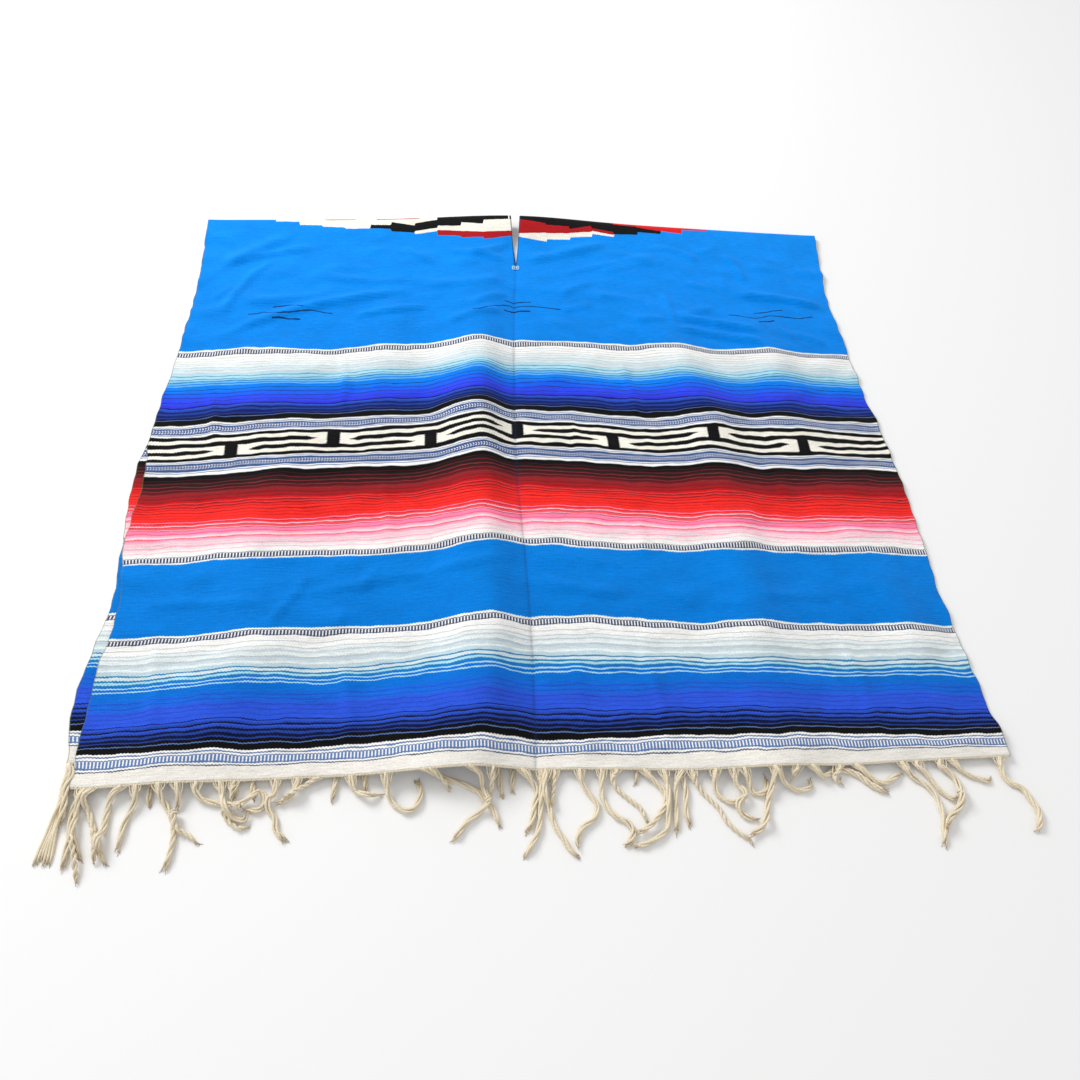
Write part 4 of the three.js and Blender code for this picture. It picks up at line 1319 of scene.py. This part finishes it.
class Yarns:
    """Gathers tubes into one mesh: points, faces, and for each point its place round and along
    the yarn and its wear, which is 1 at a frayed tip."""

    def __init__(self):
        self.points, self.faces, self.uv, self.wear = [], [], [], []
        self.count = 0

    def tube(self, middles, radii, wear, sides=6):
        """A closed tube: rings of points round a path, at each middle's own radius."""
        rings = len(middles)
        ahead = np.gradient(middles, axis=0)
        ahead /= np.maximum(np.linalg.norm(ahead, axis=1, keepdims=True), 1e-6)
        side = np.cross(ahead, (0.0, 0.0, 1.0))
        side /= np.maximum(np.linalg.norm(side, axis=1, keepdims=True), 1e-6)
        above = np.cross(side, ahead)
        turns = np.arange(sides) / sides * 2 * math.pi
        ring = side[:, None] * np.cos(turns)[:, None] + above[:, None] * np.sin(turns)[:, None]
        points = middles[:, None] + ring * radii[:, None, None]
        steps = np.linalg.norm(np.diff(middles, axis=0), axis=1)
        length = np.concatenate([[0], np.cumsum(steps)])
        index = self.count + np.arange(rings * sides).reshape(rings, sides)
        turned = np.roll(index, -1, axis=1)
        quads = np.stack([index[:-1], turned[:-1], turned[1:], index[1:]], -1).reshape(-1, 4)
        self.faces += quads.tolist() + [index[0, ::-1].tolist(), index[-1].tolist()]
        self.points.append(points.reshape(-1, 3))
        around = np.tile(np.abs(turns / math.pi - 1) / MM, rings)
        self.uv.append(np.stack([around, np.repeat(length, sides)], 1))
        self.wear.append(np.repeat(wear, sides))
        self.count += rings * sides

    def build(self, name, material):
        """The mesh object of all the tubes."""
        points = np.concatenate(self.points)
        points[:, 2] = np.maximum(points[:, 2], LOWEST)
        obj = new_object(name, material, points, self.faces, np.concatenate(self.uv))
        keep_values(obj, "wear", np.concatenate(self.wear))
        return obj


class Pile:
    """How high the floor is piled with cords, on a grid of 1 mm."""

    LOW = np.array([-700, 1000])
    SIZE = (1400, 300)
    SETTLE = 0.78  # how much of its height a cord keeps where it lies on another
    WEIGHTS = np.array([1, 3, 5, 6, 5, 3, 1]) / 24  # that smooth a cord's heights

    def __init__(self):
        self.tops = np.zeros(self.SIZE)

    def cells(self, path, reach):
        """The cells within reach of each point of a path, and how far off each is."""
        span = np.arange(-math.ceil(reach), math.ceil(reach) + 1)
        dx, dy = (part.ravel() for part in np.meshgrid(span, span))
        off = np.hypot(dx, dy)
        keep = off <= reach
        spots = np.round(path - self.LOW).astype(int)[:, None] + np.stack([dx, dy], 1)[keep]
        spots = np.clip(spots, 0, np.array(self.SIZE) - 1)
        return spots[..., 0], spots[..., 1], off[keep]

    def rest(self, path, reach):
        """The height at which a cord's middle lies on what is there, smoothed along it."""
        xs, ys, off = self.cells(path, reach)
        lifts = self.tops[xs, ys].max(axis=1) * self.SETTLE
        around = np.max([np.roll(lifts, shift) for shift in (-1, 0, 1)], axis=0)
        around[[0, -1]] = lifts[[0, -1]]
        padded = np.pad(around, len(self.WEIGHTS) // 2, mode="edge")
        return np.convolve(padded, self.WEIGHTS, mode="valid") + reach

    def lay(self, path, heights, reach):
        """Adds a cord to the pile."""
        xs, ys, off = self.cells(path, reach)
        tops = heights[:, None] + np.sqrt(reach**2 - off**2)
        np.maximum.at(self.tops, (xs, ys), tops)


def soft_path(points, step):
    """A smooth path through points: cubics over the length of the straight lines between."""
    points = np.array(points, float)
    lengths = np.concatenate([[0], np.cumsum(np.hypot(*np.diff(points, axis=0).T))])
    place = np.linspace(0, lengths[-1], max(9, round(lengths[-1] / step) + 1))
    return np.stack([through(lengths, points[:, axis], place) for axis in (0, 1)], 1)


def front_hem(across):
    """Points of the front hem: across, down and height."""
    point = front_surface(across, np.full_like(across, FRONT_LENGTH))
    return np.stack([point[:, 0], -point[:, 1] + HEM_GAP, point[:, 2] - FRONT_HEM_DROP], 1)


def back_hem(across):
    """Points of the back hem: across, down and height."""
    point = back_surface(across, np.full_like(across, BACK_LENGTH))
    return np.stack([point[:, 0], -point[:, 1] + HEM_GAP, point[:, 2]], 1)


def hem_point(hem, across, reach):
    """One point of a hem, no further across than reach."""
    return hem(np.array([float(np.clip(across, -reach, reach))]))[0]


def add_cord(yarns, pile, plies, route, hem, rng):
    """A tassel: plies twisted round one path that comes down from the hem, lies over whatever is
    there, and parts into frayed ends. Threads fan from the hem into its root."""
    start = float(np.clip(route[0][0], -ROOT_REACH, ROOT_REACH))
    root = hem_point(hem, start, ROOT_REACH)
    rooted = route[0][1] < root[1] + ROOTED_WITHIN
    if rooted:
        route = [tuple(root[:2])] + [point for point in route if point[1] > root[1] + ROOT_CLEAR]
    path = soft_path(route, CORD_STEP)
    steps = np.concatenate([[0], np.cumsum(np.hypot(*np.diff(path, axis=0).T))])
    to_tip = steps[-1] - steps
    twist_radius = PLY_RADIUS * PLY_SPACING[plies]
    brush = plies == BRUSH_PLIES
    tip_length, tip_spread = (BRUSH_LENGTH, BRUSH_SPREAD) if brush else (TIP_LENGTH, TIP_SPREAD)
    reach = twist_radius + PLY_RADIUS
    heights = pile.rest(path, reach)
    if rooted:
        drop = 1 - smooth(steps / HEM_DROP_LENGTH)
        heights = np.maximum(heights, reach + (root[2] - reach) * drop)
        heights = heights + (root[2] - heights) * (1 - smooth(steps / ROOT_RISE_LENGTH))
    pile.lay(path, heights, reach)

    ahead = np.gradient(path, axis=0)
    ahead /= np.linalg.norm(ahead, axis=1, keepdims=True)
    side = np.stack([ahead[:, 1], -ahead[:, 0]], 1)
    parting = smooth(1 - to_tip / tip_length)
    gathering = smooth(steps / FAN_LENGTH) if rooted else np.ones_like(steps)
    loose = rng.uniform(0.0, LOOSEST)
    twist = PLY_TWIST_LENGTH * rng.uniform(*(PAIR_TWISTS if plies == 2 else CORD_TWISTS))
    phase = rng.uniform(0, 2 * math.pi)
    sway = np.sin(steps / rng.uniform(*SWAY_LENGTHS) + rng.uniform(0, 6, 1))
    for ply in range(plies):
        angle = phase + 2 * math.pi * (ply / plies + steps / twist)
        rank = ply - (plies - 1) / 2
        own = np.sin(steps / rng.uniform(*STRAY_LENGTHS) + rng.uniform(0, 6))
        width = twist_radius * (1 + loose * (0.5 + 0.5 * sway)) * (0.5 + 0.5 * gathering)
        aside = width * np.cos(angle) + 0.5 * loose * own
        aside = aside * (1 - parting) + rank * tip_spread * parting
        lift = twist_radius * np.sin(angle) * (1 - parting) * (0.4 + 0.6 * gathering)
        z = np.maximum(heights + lift - twist_radius * parting, PLY_RADIUS)
        end = rng.uniform(0, LONGEST_LACK)
        keep = to_tip >= end - 1e-6
        x, down = (path + side * aside[:, None]).T
        middles = np.stack([x, -down, z], 1)[keep]
        near_tip = smooth(1 - (to_tip[keep] - end) / WORN_LENGTH)
        radii = PLY_RADIUS * (1 - TIP_THINNING * near_tip) * (0.8 + 0.2 * gathering[keep])
        yarns.tube(middles, radii, near_tip)
        add_fray(yarns, middles, rng)
    if rooted:
        add_fan(yarns, hem, start, path, heights, steps, rng)


def add_fray(yarns, middles, rng):
    """Fine ends that stand out of a ply's tip."""
    ahead = middles[-1] - middles[-3]
    ahead /= np.linalg.norm(ahead)
    side = np.array([ahead[1], -ahead[0], 0])
    t = np.linspace(0, 1, FRAY_STEPS)
    for _ in range(FRAY_ENDS):
        length = rng.uniform(*FRAY_LENGTHS)
        lean = rng.uniform(-FRAY_LEAN, FRAY_LEAN) * t[:, None]
        points = middles[-2] + length * t[:, None] * (ahead + side * lean)
        points[:, 2] = np.maximum(points[:, 2] - t * rng.uniform(0, FRAY_SAG), FRAY_LOWEST)
        yarns.tube(points, np.linspace(*FRAY_RADII, FRAY_STEPS), np.ones(FRAY_STEPS), 4)


def add_fan(yarns, hem, root_across, path, heights, steps, rng):
    """The warp ends that gather from the hem into a tassel's root."""
    t = np.linspace(0, 1, FAN_STEPS)
    for share in np.linspace(-1, 1, FAN_THREADS):
        across = root_across + share * FAN_HALF_WIDTH * rng.uniform(*FAN_UNEVEN)
        first = hem_point(hem, across, FAN_REACH)
        meet = np.searchsorted(steps, FAN_LENGTH * rng.uniform(*FAN_MEETING))
        meet = min(int(meet), len(path) - 1)
        last = np.array([path[meet][0] + share * FAN_MEETING_SPREAD, path[meet][1], heights[meet]])
        points = first + (last - first) * t[:, None]
        points[:, 0] += share * FAN_BOW * np.sin(math.pi * t)
        points *= (1, -1, 1)
        yarns.tube(points, np.linspace(*FAN_RADII, FAN_STEPS), np.zeros(FAN_STEPS), 5)


def add_knot(yarns, place, turn, pile):
    """A small overhand knot: two coils and a bit round the cord, (cos, sin) of the turn along it,
    each coil's radius growing and closing as a power of half a sine."""
    t = np.linspace(0, 1, KNOT_STEPS)
    angle = t * 2 * math.pi * KNOT_TURNS
    top = pile.tops[tuple(np.round(np.array(place) - pile.LOW).astype(int))]
    coil = KNOT_RADIUS * np.sin(math.pi * np.clip(t * KNOT_CLOSING, 0, 1)) ** KNOT_FULLNESS
    forward = (t - 0.5) * KNOT_LENGTH
    ahead = np.array([math.cos(turn), math.sin(turn)])
    aside = coil * np.cos(angle)
    x = place[0] + ahead[0] * forward - ahead[1] * aside
    y = -place[1] + ahead[1] * forward + ahead[0] * aside
    z = np.maximum(top * KNOT_SETTLE + KNOT_LIFT + coil * np.sin(angle), PLY_RADIUS)
    radii = np.full(KNOT_STEPS, KNOT_YARN_RADIUS)
    yarns.tube(np.stack([x, y, z], 1), radii, np.zeros(KNOT_STEPS))


def add_heading(yarns, hem):
    """The two-ply cord that lies along a hem, each ply a helix of its own radius round it."""
    across = np.linspace(-ROOT_REACH, ROOT_REACH, HEADING_STEPS)
    x, down, height = hem(across).T
    for ply in range(2):
        angle = across / HEADING_TURN_LENGTH * 2 * math.pi + ply * math.pi
        y = -down - HEADING_SET_IN + HEADING_RADIUS * np.cos(angle)
        z = height + HEADING_RADIUS * np.sin(angle)
        radii = np.full(HEADING_STEPS, HEADING_PLY_RADIUS)
        yarns.tube(np.stack([x, y, z], 1), radii, np.zeros(HEADING_STEPS), 5)


def bar_tack(material):
    """The stitches that close the foot of the slit: two small loops side by side, and three
    threads across."""
    yarns = Yarns()
    middle = float(crease_line(np.array([SLIT_FRONT_LENGTH + TACK_PLACE]))[0])
    turns = np.linspace(0, 4 * math.pi, 40)
    for side in (-1, 1):
        across = middle + side * TACK_LOOP_ASIDE + TACK_LOOP_SIZE[0] * np.cos(turns)
        along = TACK_LOOP_SIZE[1] * np.sin(turns) + turns * TACK_LOOP_CREEP
        above = TACK_LOOP_RISE[0] + TACK_LOOP_RISE[1] * turns / math.pi
        lay_thread(yarns, across, SLIT_FRONT_LENGTH + TACK_PLACE + along, above, TACK_LOOP_RADIUS)
    share = np.linspace(-1, 1, TACK_BAR_STEPS)
    for place in TACK_BARS:
        along = np.full(TACK_BAR_STEPS, SLIT_FRONT_LENGTH + place)
        above = TACK_BAR_RISE[0] + TACK_BAR_RISE[1] * np.cos(share * math.pi / 2)
        lay_thread(yarns, middle + TACK_BAR_HALF_LENGTH * share, along, above, TACK_BAR_RADIUS)
    return yarns.build("bar_tack", material)


def lay_thread(yarns, across, along, above, radius):
    """A thread over the front layer, at a height above its middle surface."""
    middles = front_surface(across, along)
    middles[:, 2] += above
    yarns.tube(middles, np.full(len(across), radius), np.zeros(len(across)), 6)


def fringes(material):
    """Both fringes, the back one first, since the front one lies over it."""
    rng = np.random.default_rng(FRINGE_SEED)
    pile = Pile()
    back_yarns, front_yarns = Yarns(), Yarns()
    for plies, *route in BACK_CORDS:
        add_cord(back_yarns, pile, plies, route, back_hem, rng)
    for plies, *route in FRONT_CORDS:
        add_cord(front_yarns, pile, plies, route, front_hem, rng)
    for across, down, turn in KNOTS:
        add_knot(front_yarns, (across, down), math.radians(turn), pile)
    add_heading(front_yarns, front_hem)
    add_heading(back_yarns, back_hem)
    return (
        front_yarns.build("front_fringe", material),
        back_yarns.build("back_fringe", material),
    )


def thread_material():
    """Pale blue sewing thread."""
    looks = {"Base Color": paint(196, 224, 240), "Roughness": 0.8}
    return new_material("tack_thread", looks)[0]


YARN_LIGHT = paint(248, 238, 216)
YARN_DARK = paint(228, 208, 170)
YARN_WORN = paint(196, 168, 124)
YARN_PATCH_SIZE = (1 / 2, 9)  # round the yarn, in turns, and along it
YARN_DARK_SHARES = (0.4, 0.35)  # the mean share of the darker cream, and its variation
YARN_WORN_SHARES = (0.6, 0.5)  # the same for a frayed tip's brown
YARN_SPIRAL_LENGTH = 4.6
YARN_SPIRAL_HEIGHT = 0.16
YARN_FUZZ = ((1 / 14, 1 / 1.4), 2.0, 0.6, 0.2)


def yarn_material():
    """Cream cotton yarn: twist as a bump that runs round and along each ply, browner where the
    yarn is worn."""
    looks = {"Roughness": 0.9, "Specular IOR Level": 0.2, "Sheen Weight": 0.15}
    material, shader = new_material("fringe_yarn", looks)
    sums = Sums(material.node_tree)
    around, length = sums.cloth_map()
    length = sums.times(length, 1 / MM)
    patch = sums.uneven(around, length, (YARN_PATCH_SIZE, 2.0, 0.5, 1.0))
    darker = sums.math("MULTIPLY_ADD", patch, YARN_DARK_SHARES[1], YARN_DARK_SHARES[0])
    browner = sums.math("MULTIPLY_ADD", patch, YARN_WORN_SHARES[1], YARN_WORN_SHARES[0])
    colour = sums.mix(darker, YARN_LIGHT, YARN_DARK)
    colour = sums.mix(sums.times(sums.kept("wear"), browner), colour, YARN_WORN)
    sums.feed(shader.inputs["Base Color"], colour)
    turn = 2 * math.pi
    spiral = sums.add(sums.times(around, turn), sums.times(length, turn / YARN_SPIRAL_LENGTH))
    twist = sums.times(sums.math("SINE", spiral), YARN_SPIRAL_HEIGHT)
    sums.relief(shader, sums.add(twist, sums.uneven(around, length, YARN_FUZZ)))
    return material


# ---- the scene -----------------------------------------------------------------------------------
serape = cloth_material()
front = front_cloth(serape)
back = back_cloth(serape)
front_fringe, back_fringe = fringes(yarn_material())
tack = bar_tack(thread_material())
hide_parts("front_panel")
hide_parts("back_panel")
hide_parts("fringe_front")
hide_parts("fringe_back")
for piece, material_slot in (
    (front, "serape_cloth"),
    (back, "serape_cloth"),
    (tack, "serape_cloth"),
    (front_fringe, "fringe_yarn"),
    (back_fringe, "fringe_yarn"),
):
    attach(piece, "root")

CAMERA_PLACE = np.array([-138.1, -1440.7, 1063.6])
CAMERA_DOWN, CAMERA_YAW, CAMERA_ROLL = 0.9769, 0.1821, 0.1417  # radians
CAMERA_LENS = 28.24
CAMERA_SENSOR = 36


def add_camera():
    """A camera that looks down and slightly to the right, rolled a little."""
    ahead = np.array([math.sin(CAMERA_YAW), math.cos(CAMERA_YAW), 0])
    right = np.array([math.cos(CAMERA_YAW), -math.sin(CAMERA_YAW), 0])
    forward = ahead * math.cos(CAMERA_DOWN) - np.array([0, 0, math.sin(CAMERA_DOWN)])
    up = np.cross(right, forward)
    tilted_right = right * math.cos(CAMERA_ROLL) + up * math.sin(CAMERA_ROLL)
    tilted_up = -right * math.sin(CAMERA_ROLL) + up * math.cos(CAMERA_ROLL)
    turn = Matrix(np.stack([tilted_right, tilted_up, -forward], 1).tolist())
    data = bpy.data.cameras.new("camera")
    data.lens = CAMERA_LENS
    data.sensor_width = CAMERA_SENSOR
    camera = bpy.data.objects.new("camera", data)
    place = Matrix.Translation(((CAMERA_PLACE + FRAME_SHIFT) * MM).tolist())
    camera.matrix_world = place @ turn.to_4x4()
    bpy.context.scene.collection.objects.link(camera)
    bpy.context.scene.camera = camera


FLOOR_REACH = 14
FLOOR_LOOKS = {"Base Color": paint(246, 246, 246), "Roughness": 0.9, "Specular IOR Level": 0.1}


def add_floor():
    """A plain pale floor that runs out of view."""
    mesh = bpy.data.meshes.new("floor")
    reach = FLOOR_REACH
    corners = [(-reach, -reach, 0), (reach, -reach, 0), (reach, reach, 0), (-reach, reach, 0)]
    mesh.from_pydata(corners, [], [(0, 1, 2, 3)])
    mesh.materials.append(new_material("pale_floor", FLOOR_LOOKS)[0])
    floor = bpy.data.objects.new("floor", mesh)
    bpy.context.scene.collection.objects.link(floor)
    return floor


KEY_PLACE = (-2.7, 2.5, 2.7)
KEY_SIZE = 1.8
KEY_POWER = 150
ROOM_LIGHT = 0.68


def add_lights():
    """A broad soft light from behind the left shoulder, in a bright white room."""
    data = bpy.data.lights.new("window", "AREA")
    data.energy = KEY_POWER
    data.size = KEY_SIZE
    light = bpy.data.objects.new("window", data)
    light.location = KEY_PLACE
    light.rotation_euler = (-Vector(KEY_PLACE)).to_track_quat("-Z", "Y").to_euler()
    bpy.context.scene.collection.objects.link(light)
    world = bpy.data.worlds.new("studio")
    world.use_nodes = True
    world.node_tree.nodes["Background"].inputs["Color"].default_value = (1, 1, 1, 1)
    world.node_tree.nodes["Background"].inputs["Strength"].default_value = ROOM_LIGHT
    bpy.context.scene.world = world
    bpy.context.scene.view_settings.view_transform = "Standard"


add_camera()
floor = add_floor()
add_lights()
